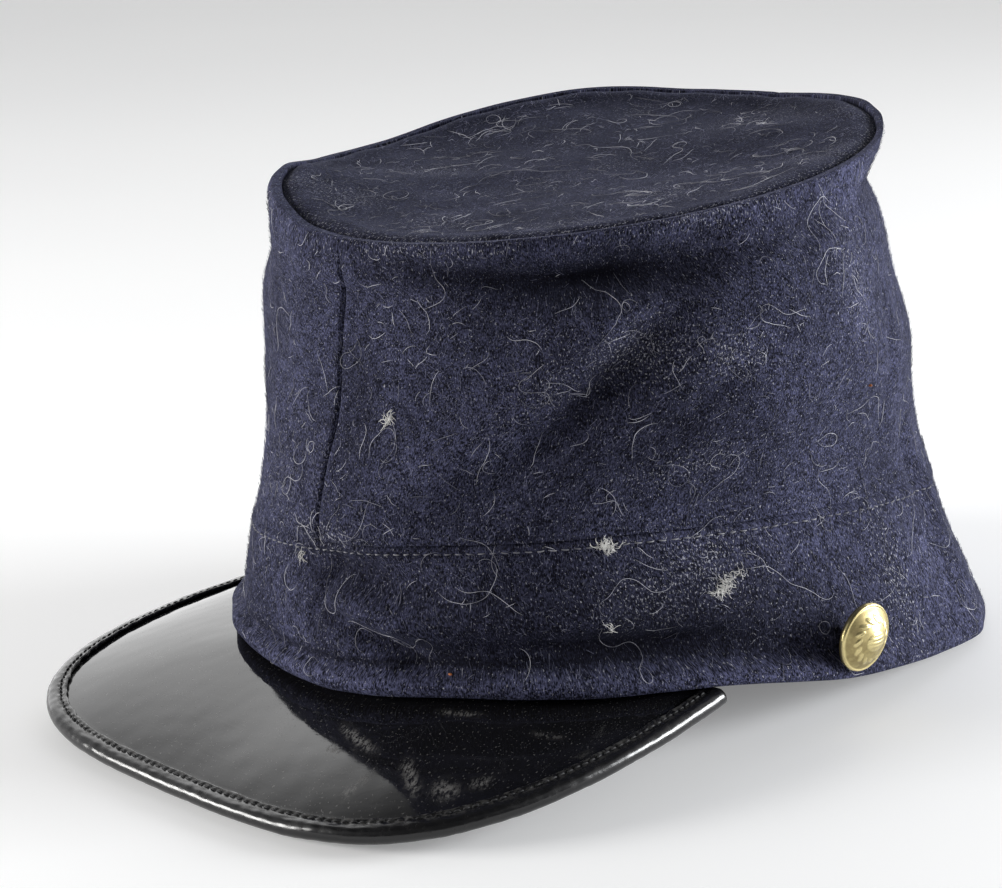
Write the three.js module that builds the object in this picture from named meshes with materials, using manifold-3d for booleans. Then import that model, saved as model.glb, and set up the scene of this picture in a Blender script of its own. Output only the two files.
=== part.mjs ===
// Kepi cap: a soft wool forage cap with a leather peak and two brass side buttons.
//
// Millimetres, +Z up, the peak toward -Y and the wearer's left side toward +X.
// The wool is described in the cap's own frame, where the rim is level, and every point is then
// seated: tipped back and lowered onto the surface where the cap rests on its rear rim and its peak.

import * as THREE from 'three';
import Module from 'manifold-3d';

// ---------------------------------------------------------------- driving dimensions
const WOOL = 2.2;              // thickness of the felted wool
const SEW_GAP = 0.3;           // room left between two sewn pieces
const BAND_TOP = 30;           // height of the band's stitched edge, measured up the wall
const BAND_WAVER = 3.0;        // how far that edge wanders up and down
const BAND_WAVER_BEARING = 55; // where it stands highest

const CROWN_SAG = 2.2;         // how far the middle of the crown lies below its edge
const CROWN_BEVEL = 0.955;     // the crown's under face, as a share of its upper face

const PEAK_LEATHER = 1.8;      // thickness of the peak
const PEAK_CORNER_BEARING = 66; // where the peak's corners meet the rim
const PEAK_UNDERLAP = 6.5;     // how far the peak reaches in under the band
const PEAK_HALF_WIDTH = 79;
const PEAK_ASIDE = -2.0;       // how far the peak is sewn toward the right side
const PEAK_TURN = -2;          // and turned that way, in degrees
const PEAK_CORNER_DROP = 1.4;  // how far the edge's corners lie below the rim
const PEAK_CORNER_Y = -41;
const PEAK_REACH = 95;         // from the line between the corners to the front edge
const PEAK_FULLNESS = 3.6;     // exponent of the outline: 2 is an ellipse, more is squarer
const PEAK_TUCK = 4.0;         // how far the corners draw in
const PEAK_TUCK_POWER = 4;     // how soon that dies out along the sides
const PEAK_FALL = 0.1645;      // drop of the outer edge for each mm forward
const PEAK_SIDE_LIFT = 2.7;    // how much higher the outer edge lies at its sides
const PEAK_LIST = -0.014;      // rise of that edge for each mm toward the left side
const PEAK_ARCH = 1.2;         // rise of the peak's middle above a straight line from rim to edge
const PEAK_WIDTH = 45;         // from rim to edge at the front

const BINDING_LEATHER = 0.8;
const BINDING_GAP = 0.25;      // between the binding and the leather that it wraps
const BINDING_WIDTH = 5.0;
const BINDING_CHAMFER = 0.44;  // of its two outer corners

const BUTTON_DIAMETER = 15.9;  // the usual 5/8 inch
const BUTTON_DOME = 3.2;
const BUTTON_EDGE = 1.5;       // height of the turned edge
const BUTTON_ROUND = 0.5;      // rounding of that edge
const BUTTON_SIDES = 32;
const DOME_STEPS = 6;
const SHANK_LOOP = 2.3;        // radius of the wire loop at the middle of its wire
const SHANK_WIRE = 0.6;        // radius of the wire
const SHANK_STEPS = 20;
const SHANK_SIDES = 8;
const BUTTON_BEARING = 85.8;   // where the shank meets the band
const BUTTON_HEIGHT = 9.2;     // measured up the wall
const BUTTON_FACES = new THREE.Vector3(0.995, -0.045, -0.095).normalize();

const FLOOR_SLOPE = 0.052;     // rise of the resting surface toward the back, in the cap's frame
const FLOOR_HEIGHT = -14.6;    // height of the resting surface below the rim's middle
const MIDDLE_X = -0.35;        // from the rim's middle to the middle of the whole cap
const MIDDLE_Y = 17.49;

// how finely the walls are faceted
const BODY_COLUMNS = 36;
const BAND_COLUMNS = 72;
const BODY_ROWS = 13;
const ROLL_ROWS = 4;
const ROLL_SHARE = 0.09;       // of the body's height, taken up by the roll at its top
const BAND_ROWS = 6;
const CROWN_COLUMNS = 60;
const CROWN_RINGS = 5;
const PEAK_COLUMNS = 34;
const PEAK_ROWS = 6;

const UP = new THREE.Vector3(0, 0, 1);

// ---------------------------------------------------------------- the wool's form
// A row for each oval section of the outer wall, from the rim to the crown seam. A section lies on
// a plane that is height mm above the rim at the cap's middle and rises by slope toward the back.
// middle is the y of the oval's middle, reach half its length and half half its width.
const SECTIONS = [
  { name: 'rim', height: 0, slope: 0.0, middle: 2.3, reach: 98.8, half: 81.0 },
  { name: 'above_hem', height: 9, slope: 0.005, middle: 1.3, reach: 97.6, half: 78.0 },
  { name: 'band_middle', height: 20, slope: 0.01, middle: -0.5, reach: 95.5, half: 73.0 },
  { name: 'band_top', height: 36, slope: 0.02, middle: -3.0, reach: 91.0, half: 68.0 },
  { name: 'waist', height: 48, slope: 0.03, middle: -4.5, reach: 86.5, half: 69.5 },
  { name: 'body_middle', height: 62, slope: 0.05, middle: -5.7, reach: 81.8, half: 73.5 },
  { name: 'shoulder', height: 78, slope: 0.08, middle: -8.2, reach: 78.6, half: 74.4 },
  { name: 'below_roll', height: 92, slope: 0.12, middle: -10.5, reach: 76.0, half: 73.0 },
  { name: 'roll_foot', height: 98, slope: 0.145, middle: -11.8, reach: 75.4, half: 70.5 },
  { name: 'roll_side', height: 103, slope: 0.151, middle: -12.0, reach: 75.2, half: 69.2 },
  { name: 'roll_top', height: 106, slope: 0.151, middle: -12.0, reach: 74.0, half: 67.4 },
  { name: 'crown_seam', height: 106, slope: 0.151, middle: -12.0, reach: 71.9, half: 65.3 },
];

// How far the rim and the crown's edge wander up (+) and down (-) from their sections, by bearing.
const RIM_LINE = [
  { bearing: -180, rise: -10.0 }, { bearing: -150, rise: -11.0 }, { bearing: -120, rise: -10.5 },
  { bearing: -90, rise: -6.8 }, { bearing: -60, rise: -1.6 }, { bearing: -30, rise: -2.4 },
  { bearing: 0, rise: -4.8 }, { bearing: 30, rise: -2.4 }, { bearing: 60, rise: -1.6 },
  { bearing: 90, rise: -6.8 }, { bearing: 120, rise: -10.5 }, { bearing: 150, rise: -11.0 },
];
const CROWN_LINE = [
  { bearing: -180, rise: 0.5 }, { bearing: -160, rise: 1.2 }, { bearing: -135, rise: 3.6 },
  { bearing: -110, rise: 2.2 }, { bearing: -90, rise: 0.3 }, { bearing: -70, rise: 2.0 },
  { bearing: -50, rise: 5.5 }, { bearing: -30, rise: 4.0 }, { bearing: -10, rise: 1.0 },
  { bearing: 10, rise: 0 }, { bearing: 120, rise: 0.5 }, { bearing: 150, rise: 2.5 },
];

// A row for each dent (depth < 0) and ridge (depth > 0) of the wall. It is centred at a bearing and
// a height up the wall, length and width are its half sizes, and lean turns its length from level.
const FOLDS = [
  { name: 'hollow_under_roll', bearing: 40, height: 99, length: 44, width: 9, lean: 3, depth: -4.5 },
  { name: 'hollow_heart', bearing: 48, height: 99, length: 22, width: 7, lean: 3, depth: -4.0 },
  { name: 'ledge_under_hollow', bearing: 50, height: 84, length: 26, width: 7, lean: 8, depth: 2.0 },
  { name: 'slanting_valley', bearing: 47, height: 70, length: 32, width: 9, lean: 48, depth: -4.0 },
  { name: 'soft_cheek', bearing: 80, height: 72, length: 26, width: 20, lean: 70, depth: 2.0 },
  { name: 'neck_below_roll', bearing: 138, height: 99, length: 50, width: 6, lean: 0, depth: -3.5 },
  { name: 'slope_below_neck', bearing: 132, height: 84, length: 50, width: 18, lean: 0, depth: -4.5 },
  { name: 'roll_at_back', bearing: 145, height: 113, length: 60, width: 7, lean: 0, depth: 2.5 },
  { name: 'band_hollow', bearing: 14, height: 24.5, length: 26, width: 6, lean: -3, depth: -2.5 },
  { name: 'band_ridge', bearing: 21, height: 17.5, length: 26, width: 4, lean: 0, depth: 1.5 },
  { name: 'band_valley', bearing: 17, height: 9.5, length: 20, width: 4, lean: -16, depth: -2.0 },
  { name: 'hollow_over_hem', bearing: 52, height: 8.5, length: 34, width: 5, lean: 0, depth: -4.0 },
  { name: 'standing_ridge', bearing: 123, height: 17, length: 18, width: 7, lean: 82, depth: 2.0 },
  { name: 'flare_at_back', bearing: 132, height: 0, length: 26, width: 12, lean: 0, depth: 4.5 },
  { name: 'far_hollow', bearing: -62, height: 97, length: 34, width: 10, lean: -4, depth: -5.0 },
  { name: 'far_valley', bearing: -75, height: 66, length: 30, width: 11, lean: -50, depth: -3.0 },
  { name: 'far_neck', bearing: -140, height: 101, length: 50, width: 6, lean: 0, depth: -3.0 },
  { name: 'far_roll', bearing: -145, height: 113, length: 60, width: 7, lean: 0, depth: 2.0 },
  { name: 'far_hem_hollow', bearing: -68, height: 9, length: 30, width: 5, lean: 0, depth: -2.5 },
  { name: 'far_front_flare', bearing: -45, height: 0, length: 25, width: 8, lean: 0, depth: 1.5 },
  { name: 'far_flare', bearing: -135, height: 0, length: 26, width: 10, lean: 0, depth: 2.0 },
];
const MM_PER_DEGREE = 1.45;    // along the wall, at its mean radius
const ROLL_HEIGHT = 6;         // the dents die out over this stretch below the crown seam

// ---------------------------------------------------------------- small helpers
const radians = THREE.MathUtils.degToRad;

// Value of a table's column at a place, smooth between rows and never overshooting them.
function between(rows, places, column, place) {
  const last = rows.length - 1;
  let i = 0;
  while (i < last - 1 && places[i + 1] < place) i += 1;
  const chord = (k) => (rows[k + 1][column] - rows[k][column]) / (places[k + 1] - places[k]);
  const tangent = (k) => {
    if (k === 0) return chord(0);
    if (k === last) return chord(last - 1);
    const [before, after] = [chord(k - 1), chord(k)];
    return before * after <= 0 ? 0 : (2 * before * after) / (before + after);
  };
  const span = places[i + 1] - places[i];
  const f = THREE.MathUtils.clamp((place - places[i]) / span, 0, 1);
  const rise = rows[i + 1][column] - rows[i][column];
  const [m0, m1] = [tangent(i) * span, tangent(i + 1) * span];
  return rows[i][column] + f * m0 + f * f * (3 * rise - 2 * m0 - m1) + f * f * f * (m0 + m1 - 2 * rise);
}

// Value of a rise table at any bearing, going round.
function riseAt(rows, bearing) {
  const turn = ((bearing + 180) % 360 + 360) % 360 - 180;
  const round = [...rows, { bearing: rows[0].bearing + 360, rise: rows[0].rise }];
  return between(round, round.map((row) => row.bearing), 'rise', turn);
}

// Turns a flat extruded or lathed solid into its final form point by point, facing outward.
function formed(geometry, place) {
  const plain = geometry.index ? geometry.toNonIndexed() : geometry;
  const spots = plain.getAttribute('position');
  const point = new THREE.Vector3();
  for (let i = 0; i < spots.count; i += 1) {
    point.fromBufferAttribute(spots, i);
    const to = place(point);
    spots.setXYZ(i, to.x, to.y, to.z);
  }
  const result = new THREE.BufferGeometry();
  const whole = withoutSlivers(spots);
  const corners = signedVolume(whole) < 0 ? turnedOver(whole) : whole;
  result.setAttribute('position', new THREE.Float32BufferAttribute(corners, 3));
  result.computeVertexNormals();
  return result;
}

// The corners of a soup's triangles, leaving out those that closed up to nothing.
function withoutSlivers(spots) {
  const kept = [];
  const [a, b, c] = [new THREE.Vector3(), new THREE.Vector3(), new THREE.Vector3()];
  for (let i = 0; i < spots.count; i += 3) {
    a.fromBufferAttribute(spots, i);
    b.fromBufferAttribute(spots, i + 1);
    c.fromBufferAttribute(spots, i + 2);
    if (a.equals(b) || b.equals(c) || c.equals(a)) continue;
    kept.push(...a, ...b, ...c);
  }
  return kept;
}

function signedVolume(corners) {
  let six = 0;
  const [a, b, c] = [new THREE.Vector3(), new THREE.Vector3(), new THREE.Vector3()];
  for (let i = 0; i < corners.length; i += 9) {
    a.fromArray(corners, i);
    b.fromArray(corners, i + 3);
    c.fromArray(corners, i + 6);
    six += a.dot(b.cross(c));
  }
  return six / 6;
}

function turnedOver(corners) {
  const turned = [];
  for (let i = 0; i < corners.length; i += 9) {
    turned.push(...corners.slice(i, i + 3), ...corners.slice(i + 6, i + 9), ...corners.slice(i + 3, i + 6));
  }
  return turned;
}

// ---------------------------------------------------------------- from the cap's frame to its rest
const TIP = Math.atan(FLOOR_SLOPE);

function seated(point) {
  const [c, s] = [Math.cos(TIP), Math.sin(TIP)];
  const lift = point.z - FLOOR_HEIGHT;
  const y = point.y * c + lift * s + MIDDLE_Y;
  return new THREE.Vector3(point.x + MIDDLE_X, y, Math.max(0, lift * c - point.y * s));
}

// ---------------------------------------------------------------- the wall
const SECTION_PLACES = SECTIONS.reduce((places, row, i) => {
  const before = SECTIONS[i - 1];
  places.push(i === 0 ? 0 : places[i - 1] + Math.hypot(row.height - before.height, row.reach - before.reach));
  return places;
}, []);
const WALL_TOP = SECTION_PLACES[SECTION_PLACES.length - 1];

function foldDepth(bearing, height) {
  const settled = THREE.MathUtils.clamp((WALL_TOP - height) / ROLL_HEIGHT, 0, 1);
  return FOLDS.reduce((depth, fold) => {
    const turn = ((bearing - fold.bearing + 180) % 360 + 360) % 360 - 180;
    const [across, up] = [turn * MM_PER_DEGREE, height - fold.height];
    const [c, s] = [Math.cos(radians(fold.lean)), Math.sin(radians(fold.lean))];
    const along = (across * c + up * s) / fold.length;
    const over = (up * c - across * s) / fold.width;
    const share = fold.depth < 0 ? settled : 1;
    return depth + share * fold.depth * Math.exp(-along * along - over * over);
  }, 0);
}

// A point of the wall at a bearing, a height up the wall and a depth under the outer face.
function wallPoint(bearing, height, under) {
  const at = (column) => between(SECTIONS, SECTION_PLACES, column, height);
  const [reach, half] = [at('reach'), at('half')];
  const t = radians(bearing);
  const outward = new THREE.Vector3(reach * Math.sin(t), -half * Math.cos(t), 0).normalize();
  const point = new THREE.Vector3(half * Math.sin(t), at('middle') - reach * Math.cos(t), 0);
  point.addScaledVector(outward, foldDepth(bearing, height) - under);
  const rimShare = THREE.MathUtils.clamp(1 - height / BAND_TOP, 0, 1);
  const crownShare = THREE.MathUtils.smoothstep(height, BAND_TOP, WALL_TOP);
  const drift = rimShare * riseAt(RIM_LINE, bearing) + crownShare * riseAt(CROWN_LINE, bearing);
  point.z = at('height') + at('slope') * point.y + drift;
  return point;
}

function bandTop(bearing) {
  return BAND_TOP + BAND_WAVER * Math.cos(2 * radians(bearing - BAND_WAVER_BEARING));
}

// A strip of wool as a flat section, drawn with x the share of its height and y the depth under its
// face, extruded along the bearing and then laid on the wall. outer and inner are its rows of shares.
function stripOfWool(outer, inner, fromBearing, toBearing, columns, heightAt) {
  const outline = new THREE.Shape();
  outline.moveTo(outer[0], 0);
  outer.slice(1).forEach((share) => outline.lineTo(share, 0));
  [...inner].reverse().forEach((share) => outline.lineTo(share, WOOL));
  const flat = new THREE.ExtrudeGeometry(outline, { depth: 1, steps: columns, bevelEnabled: false });
  return formed(flat, (p) => {
    const bearing = THREE.MathUtils.lerp(fromBearing, toBearing, p.z);
    return seated(wallPoint(bearing, heightAt(bearing, p.x), p.y));
  });
}

// ---------------------------------------------------------------- body, band and crown
const SEAM_DEGREES = SEW_GAP / 2 / MM_PER_DEGREE;

// Half of the body. Its strip ends in the roll, whose inner face stops short of the crown seam.
function bodyHalf(side) {
  const [from, to] = side > 0 ? [SEAM_DEGREES, 180 - SEAM_DEGREES] : [SEAM_DEGREES - 180, -SEAM_DEGREES];
  const shares = [];
  for (let i = 0; i <= BODY_ROWS; i += 1) shares.push(((1 - ROLL_SHARE) * i) / BODY_ROWS);
  const rolled = [];
  for (let i = 1; i <= ROLL_ROWS; i += 1) rolled.push(1 - ROLL_SHARE + (ROLL_SHARE * i) / ROLL_ROWS);
  const outer = [...shares, ...rolled];
  const inner = [...shares, 1 - ROLL_SHARE / 2];
  return stripOfWool(outer, inner, from, to, BODY_COLUMNS, (bearing, share) => (
    THREE.MathUtils.lerp(bandTop(bearing) + SEW_GAP / 2, WALL_TOP, share)
  ));
}

function bandStrip() {
  const [from, to] = [SEAM_DEGREES - 180, 180 - SEAM_DEGREES];
  const shares = [];
  for (let i = 0; i <= BAND_ROWS; i += 1) shares.push(i / BAND_ROWS);
  return stripOfWool(shares, shares, from, to, BAND_COLUMNS, (bearing, share) => (
    share * (bandTop(bearing) - SEW_GAP / 2)
  ));
}

// The crown is turned as a unit disc whose y is its depth, then spread over the crown seam.
function crownDisc() {
  const profile = [];
  const below = (i) => (i / CROWN_RINGS) * (i === CROWN_RINGS ? CROWN_BEVEL : 1);
  for (let i = 0; i <= CROWN_RINGS; i += 1) profile.push(new THREE.Vector2(below(i), -WOOL));
  for (let i = CROWN_RINGS; i >= 0; i -= 1) profile.push(new THREE.Vector2(i / CROWN_RINGS, 0));
  const flat = new THREE.LatheGeometry(profile, CROWN_COLUMNS);
  return formed(flat, (p) => {
    const share = Math.hypot(p.x, p.z);
    const bearing = share < 1e-6 ? 0 : THREE.MathUtils.radToDeg(Math.atan2(p.x, -p.z));
    const edge = wallPoint(bearing, WALL_TOP, SEW_GAP);
    return seated(crownPoint(edge, share, p.y));
  });
}

const SEAM_ROW = SECTIONS.find((row) => row.name === 'crown_seam');

function crownPoint(edge, share, depth) {
  const heart = new THREE.Vector3(0, SEAM_ROW.middle, 0);
  heart.z = SEAM_ROW.height + SEAM_ROW.slope * heart.y - CROWN_SAG;
  const flatEdge = new THREE.Vector3(edge.x, edge.y, SEAM_ROW.height + SEAM_ROW.slope * edge.y);
  const point = heart.clone().lerp(flatEdge, share);
  const sag = CROWN_SAG * (share * share - share);
  point.z += sag + (edge.z - flatEdge.z) * share * share + depth;
  return point;
}

// ---------------------------------------------------------------- peak and its binding
function peakInner(share) {
  const turn = THREE.MathUtils.lerp(-PEAK_CORNER_BEARING, PEAK_CORNER_BEARING, share);
  const bearing = turn + PEAK_TURN;
  const point = wallPoint(bearing, 0, PEAK_UNDERLAP);
  point.z -= SEW_GAP;
  return point;
}

function peakOuter(share) {
  const turn = radians(180 * share - 90);
  const power = 2 / PEAK_FULLNESS;
  const forward = Math.abs(Math.cos(turn)) ** power;
  const sideways = Math.abs(Math.sin(turn)) ** power * Math.sign(Math.sin(turn));
  const tuck = PEAK_TUCK * (1 - forward) ** PEAK_TUCK_POWER;
  const x = PEAK_ASIDE + (PEAK_HALF_WIDTH - tuck) * sideways;
  const y = PEAK_CORNER_Y - PEAK_REACH * forward;
  const corner = riseAt(RIM_LINE, PEAK_CORNER_BEARING) - PEAK_CORNER_DROP;
  const lift = PEAK_SIDE_LIFT * sideways * sideways * forward;
  const z = corner + lift + (PEAK_LIST * x - PEAK_FALL * PEAK_REACH) * forward;
  return new THREE.Vector3(x, y, z);
}

// Steps along the peak's outline at even spacing, kept clear of the flat ends of the superellipse.
function evenShares(columns) {
  const samples = 2000;
  const run = [0];
  for (let i = 1; i <= samples; i += 1) {
    run.push(run[i - 1] + peakOuter(i / samples).distanceTo(peakOuter((i - 1) / samples)));
  }
  const shares = [];
  for (let i = 0, k = 0; i <= columns; i += 1) {
    while (k < samples && run[k] < (run[samples] * i) / columns) k += 1;
    shares.push(k / samples);
  }
  return shares;
}

const PEAK_SHARES = evenShares(PEAK_COLUMNS);

function outlineShare(along) {
  const step = along * PEAK_COLUMNS;
  const i = Math.min(PEAK_COLUMNS - 1, Math.floor(step + 1e-6));
  return THREE.MathUtils.lerp(PEAK_SHARES[i], PEAK_SHARES[i + 1], step - i);
}

// The outer edge's place, with the peak's own outward and up directions there.
function edgeFrame(along) {
  const edge = peakOuter(outlineShare(along));
  const inner = peakInner(along);
  const ahead = peakOuter(outlineShare(Math.min(1, along + 0.01)));
  const behind = peakOuter(outlineShare(Math.max(0, along - 0.01)));
  const run = ahead.sub(behind).normalize();
  const out = new THREE.Vector3(-run.y, run.x, 0).normalize();
  if (out.x * edge.x + out.y * (edge.y - PEAK_CORNER_Y) < 0) out.negate();
  const width = Math.hypot(edge.x - inner.x, edge.y - inner.y);
  out.z = (edge.z - inner.z) / Math.max(width, PEAK_WIDTH / 2);
  out.addScaledVector(run, -out.dot(run)).normalize();
  const up = new THREE.Vector3().crossVectors(run, out).normalize();
  if (up.z < 0) up.negate();
  return { edge, out, up };
}

// The peak's plate runs from under the band to the binding, and its last row lies inside it.
function peakLeather() {
  const outline = new THREE.Shape();
  outline.moveTo(0, 0);
  for (let i = 1; i <= PEAK_ROWS + 1; i += 1) outline.lineTo(i, 0);
  for (let i = PEAK_ROWS + 1; i >= 0; i -= 1) outline.lineTo(i, -PEAK_LEATHER);
  const flat = new THREE.ExtrudeGeometry(outline, { depth: 1, steps: PEAK_COLUMNS, bevelEnabled: false });
  return formed(flat, (p) => {
    const inner = peakInner(p.z);
    const { edge, out, up } = edgeFrame(p.z);
    if (p.x > PEAK_ROWS) {
      edge.addScaledVector(out, -BINDING_LEATHER - BINDING_GAP);
      return seated(edge.addScaledVector(up, p.y));
    }
    const share = p.x / PEAK_ROWS;
    const point = inner.lerp(edge.addScaledVector(out, -BINDING_WIDTH - SEW_GAP), share);
    const width = Math.hypot(edge.x - inner.x, edge.y - inner.y) / PEAK_WIDTH;
    point.z += 4 * PEAK_ARCH * width * share * (1 - share);
    return seated(point.addScaledVector(UP.clone().lerp(up, share).normalize(), p.y));
  });
}

// The binding's section is a U, drawn with x outward from the edge and y up from the leather's top.
function bindingSection() {
  const [skin, gap, wide] = [BINDING_LEATHER, BINDING_GAP, BINDING_WIDTH];
  const top = gap + skin;
  const bottom = -PEAK_LEATHER - gap - skin;
  const section = new THREE.Shape();
  section.moveTo(-wide, gap);
  section.lineTo(-wide, top);
  section.lineTo(-BINDING_CHAMFER, top);
  section.lineTo(0, top - BINDING_CHAMFER);
  section.lineTo(0, bottom + BINDING_CHAMFER);
  section.lineTo(-BINDING_CHAMFER, bottom);
  section.lineTo(-wide, bottom);
  section.lineTo(-wide, bottom + skin);
  section.lineTo(-skin, bottom + skin);
  section.lineTo(-skin, gap);
  section.closePath();
  return section;
}

function peakBinding() {
  const options = { depth: 1, steps: PEAK_COLUMNS, bevelEnabled: false };
  const flat = new THREE.ExtrudeGeometry(bindingSection(), options);
  return formed(flat, (p) => {
    const { edge, out, up } = edgeFrame(p.z);
    return seated(edge.addScaledVector(out, p.x).addScaledVector(up, p.y));
  });
}

// ---------------------------------------------------------------- buttons
const wasm = await Module();
wasm.setup();

function solidOf(geometry) {
  const place = new Map();
  const vertProperties = [];
  const triVerts = [];
  const plain = geometry.index ? geometry.toNonIndexed() : geometry;
  const spots = plain.getAttribute('position');
  for (let i = 0; i < spots.count; i += 1) {
    const spot = [spots.getX(i), spots.getY(i), spots.getZ(i)];
    const key = spot.map((v) => Math.round(v * 1e4)).join(' ');
    if (!place.has(key)) {
      place.set(key, vertProperties.length / 3);
      vertProperties.push(...spot);
    }
    triVerts.push(place.get(key));
  }
  const kept = [];
  for (let i = 0; i < triVerts.length; i += 3) {
    const [a, b, c] = triVerts.slice(i, i + 3);
    if (a !== b && b !== c && c !== a) kept.push(a, b, c);
  }
  return new wasm.Manifold(new wasm.Mesh({
    numProp: 3,
    vertProperties: new Float32Array(vertProperties),
    triVerts: new Uint32Array(kept),
  }));
}

function geometryOf(solid) {
  const mesh = solid.getMesh();
  const result = new THREE.BufferGeometry();
  result.setAttribute('position', new THREE.BufferAttribute(new Float32Array(mesh.vertProperties), 3));
  result.setIndex([...mesh.triVerts]);
  return result;
}

// A domed face with a turned edge and a flat back, and a wire loop soldered to the back. The axis
// is +Y, and the back lies on y = 0.
function buttonSolid() {
  const radius = BUTTON_DIAMETER / 2;
  const domeRadius = radius - BUTTON_ROUND;
  const profile = [new THREE.Vector2(0, 0), new THREE.Vector2(domeRadius, 0)];
  profile.push(new THREE.Vector2(radius, BUTTON_ROUND));
  profile.push(new THREE.Vector2(radius, BUTTON_EDGE - BUTTON_ROUND));
  profile.push(new THREE.Vector2(domeRadius, BUTTON_EDGE));
  for (let i = DOME_STEPS - 1; i >= 0; i -= 1) {
    const share = i / DOME_STEPS;
    profile.push(new THREE.Vector2(domeRadius * share, BUTTON_EDGE + BUTTON_DOME * (1 - share * share)));
  }
  const face = new THREE.LatheGeometry(profile, BUTTON_SIDES);
  const loop = new THREE.TorusGeometry(SHANK_LOOP, SHANK_WIRE, SHANK_SIDES, SHANK_STEPS);
  loop.translate(0, -SHANK_LOOP, 0);
  return geometryOf(solidOf(outwardFacing(face)).add(solidOf(outwardFacing(loop))));
}

function outwardFacing(geometry) {
  return formed(geometry, (p) => p.clone());
}

function sideButton(side) {
  const foot = wallPoint(side * BUTTON_BEARING, BUTTON_HEIGHT, -SEW_GAP);
  const faces = BUTTON_FACES.clone();
  faces.x *= side;
  const back = foot.addScaledVector(faces, 2 * SHANK_LOOP + SHANK_WIRE);
  const turn = new THREE.Quaternion().setFromUnitVectors(new THREE.Vector3(0, 1, 0), faces);
  return formed(BUTTON_BLANK, (p) => seated(p.clone().applyQuaternion(turn).add(back)));
}

const BUTTON_BLANK = buttonSolid();

// ---------------------------------------------------------------- the cap
const wool = { color: 0x1b1c2c, roughness: 0.95, metalness: 0 };
const patent = { color: 0x0b0b0d, roughness: 0.18, metalness: 0 };
const edgeLeather = { color: 0x101011, roughness: 0.4, metalness: 0 };
const brass = { color: 0xb9974f, roughness: 0.3, metalness: 1 };

const cap = new THREE.Group();

function piece(name, geometry, finish) {
  const mesh = new THREE.Mesh(geometry, new THREE.MeshStandardMaterial(finish));
  mesh.name = name;
  cap.add(mesh);
}

piece('crown_top', crownDisc(), wool);
piece('body_left', bodyHalf(1), wool);
piece('body_right', bodyHalf(-1), wool);
piece('band', bandStrip(), wool);
piece('peak', peakLeather(), patent);
piece('peak_binding', peakBinding(), edgeLeather);
piece('side_button_left', sideButton(1), brass);
piece('side_button_right', sideButton(-1), brass);

export default cap;
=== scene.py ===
"""Builds the wool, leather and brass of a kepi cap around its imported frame.

Sizes in the tables are in millimetres, in the cap's own frame, where the rim is level. Every point
is then seated: tipped back and lowered onto the surface where the cap rests, and turned to metres.
A place on the wall is a bearing in degrees, with 0 at the front seam and + toward the wearer's
left, and a height in mm, measured up the wall.
"""

import math
import random

import bmesh
import bpy
import numpy as np
from bpy.props import FloatProperty, FloatVectorProperty, IntProperty, PointerProperty
from mathutils import Matrix, Vector


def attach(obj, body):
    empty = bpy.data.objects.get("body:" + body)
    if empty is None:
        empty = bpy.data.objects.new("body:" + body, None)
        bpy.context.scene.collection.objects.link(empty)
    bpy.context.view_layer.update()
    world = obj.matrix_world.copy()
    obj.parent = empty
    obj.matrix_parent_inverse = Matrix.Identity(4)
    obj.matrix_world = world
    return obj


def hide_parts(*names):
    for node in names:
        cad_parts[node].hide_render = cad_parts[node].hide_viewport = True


bl_info = {
    "name": "Kepi Cap",
    "version": (1, 0, 0),
    "blender": (4, 5, 0),
    "location": "View3D > Sidebar > Kepi",
    "description": "Builds the wool, leather and brass of a kepi cap around its packed frame",
    "category": "Object",
}

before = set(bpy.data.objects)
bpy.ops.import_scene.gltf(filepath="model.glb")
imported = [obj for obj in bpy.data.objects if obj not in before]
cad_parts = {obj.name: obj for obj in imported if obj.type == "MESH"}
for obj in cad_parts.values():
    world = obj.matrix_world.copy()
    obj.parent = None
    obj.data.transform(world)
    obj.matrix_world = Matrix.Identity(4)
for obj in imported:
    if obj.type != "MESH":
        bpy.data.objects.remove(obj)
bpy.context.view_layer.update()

MM = 0.001

# ------------------------------------------------------------------ the cap's driving sizes, in mm
WOOL = 2.2
SEW_GAP = 0.3
BAND_TOP = 30.0
BAND_WAVER = 3.0
BAND_WAVER_BEARING = 55.0
CROWN_SAG = 2.2
CROWN_BEVEL = 0.955
CROWN_RADIUS = 70.0  # about how far the crown's seam is from its middle
EDGE = 0.5  # how far a cut edge is rounded, along the wall
JOINT_SLANT = 1.2  # how much higher the inside of the body's and band's joint is
HEM_HEIGHT = 5.0
STITCH_BELOW_EDGE = 1.3

PEAK_LEATHER = 1.8
PEAK_CORNER_BEARING = 66.0
PEAK_UNDERLAP = 6.5
PEAK_HALF_WIDTH = 79.0
PEAK_ASIDE = -2.0
PEAK_TURN = -2.0
PEAK_CORNER_DROP = 1.4
PEAK_CORNER_Y = -41.0
PEAK_REACH = 95.0
PEAK_FULLNESS = 3.6
PEAK_TUCK = 4.0
PEAK_TUCK_POWER = 4
PEAK_FALL = 0.1645
PEAK_SIDE_LIFT = 2.7
PEAK_LIST = -0.014
PEAK_ARCH = 1.2
PEAK_WIDTH = 45.0

BINDING_LEATHER = 0.8
BINDING_GAP = 0.25
BINDING_WIDTH = 5.0
BINDING_STITCH_STEP = 2.3
BINDING_STITCH_IN = 3.7
OUTLINE_RUN = 330.0  # the run along the peak's outline that stitches and map are laid out on

BUTTON_DIAMETER = 15.9
BUTTON_DOME = 3.2
BUTTON_EDGE = 1.5
SHANK_LOOP = 2.3
SHANK_WIRE = 0.6
BUTTON_BEARING = 85.8
BUTTON_HEIGHT = 9.2
BUTTON_FACES = Vector((0.995, -0.045, -0.095)).normalized()

FLOOR_SLOPE = 0.052
FLOOR_HEIGHT = -14.6
MIDDLE_X = -0.35
MIDDLE_Y = 17.49
TIP = math.atan(FLOOR_SLOPE)

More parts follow.
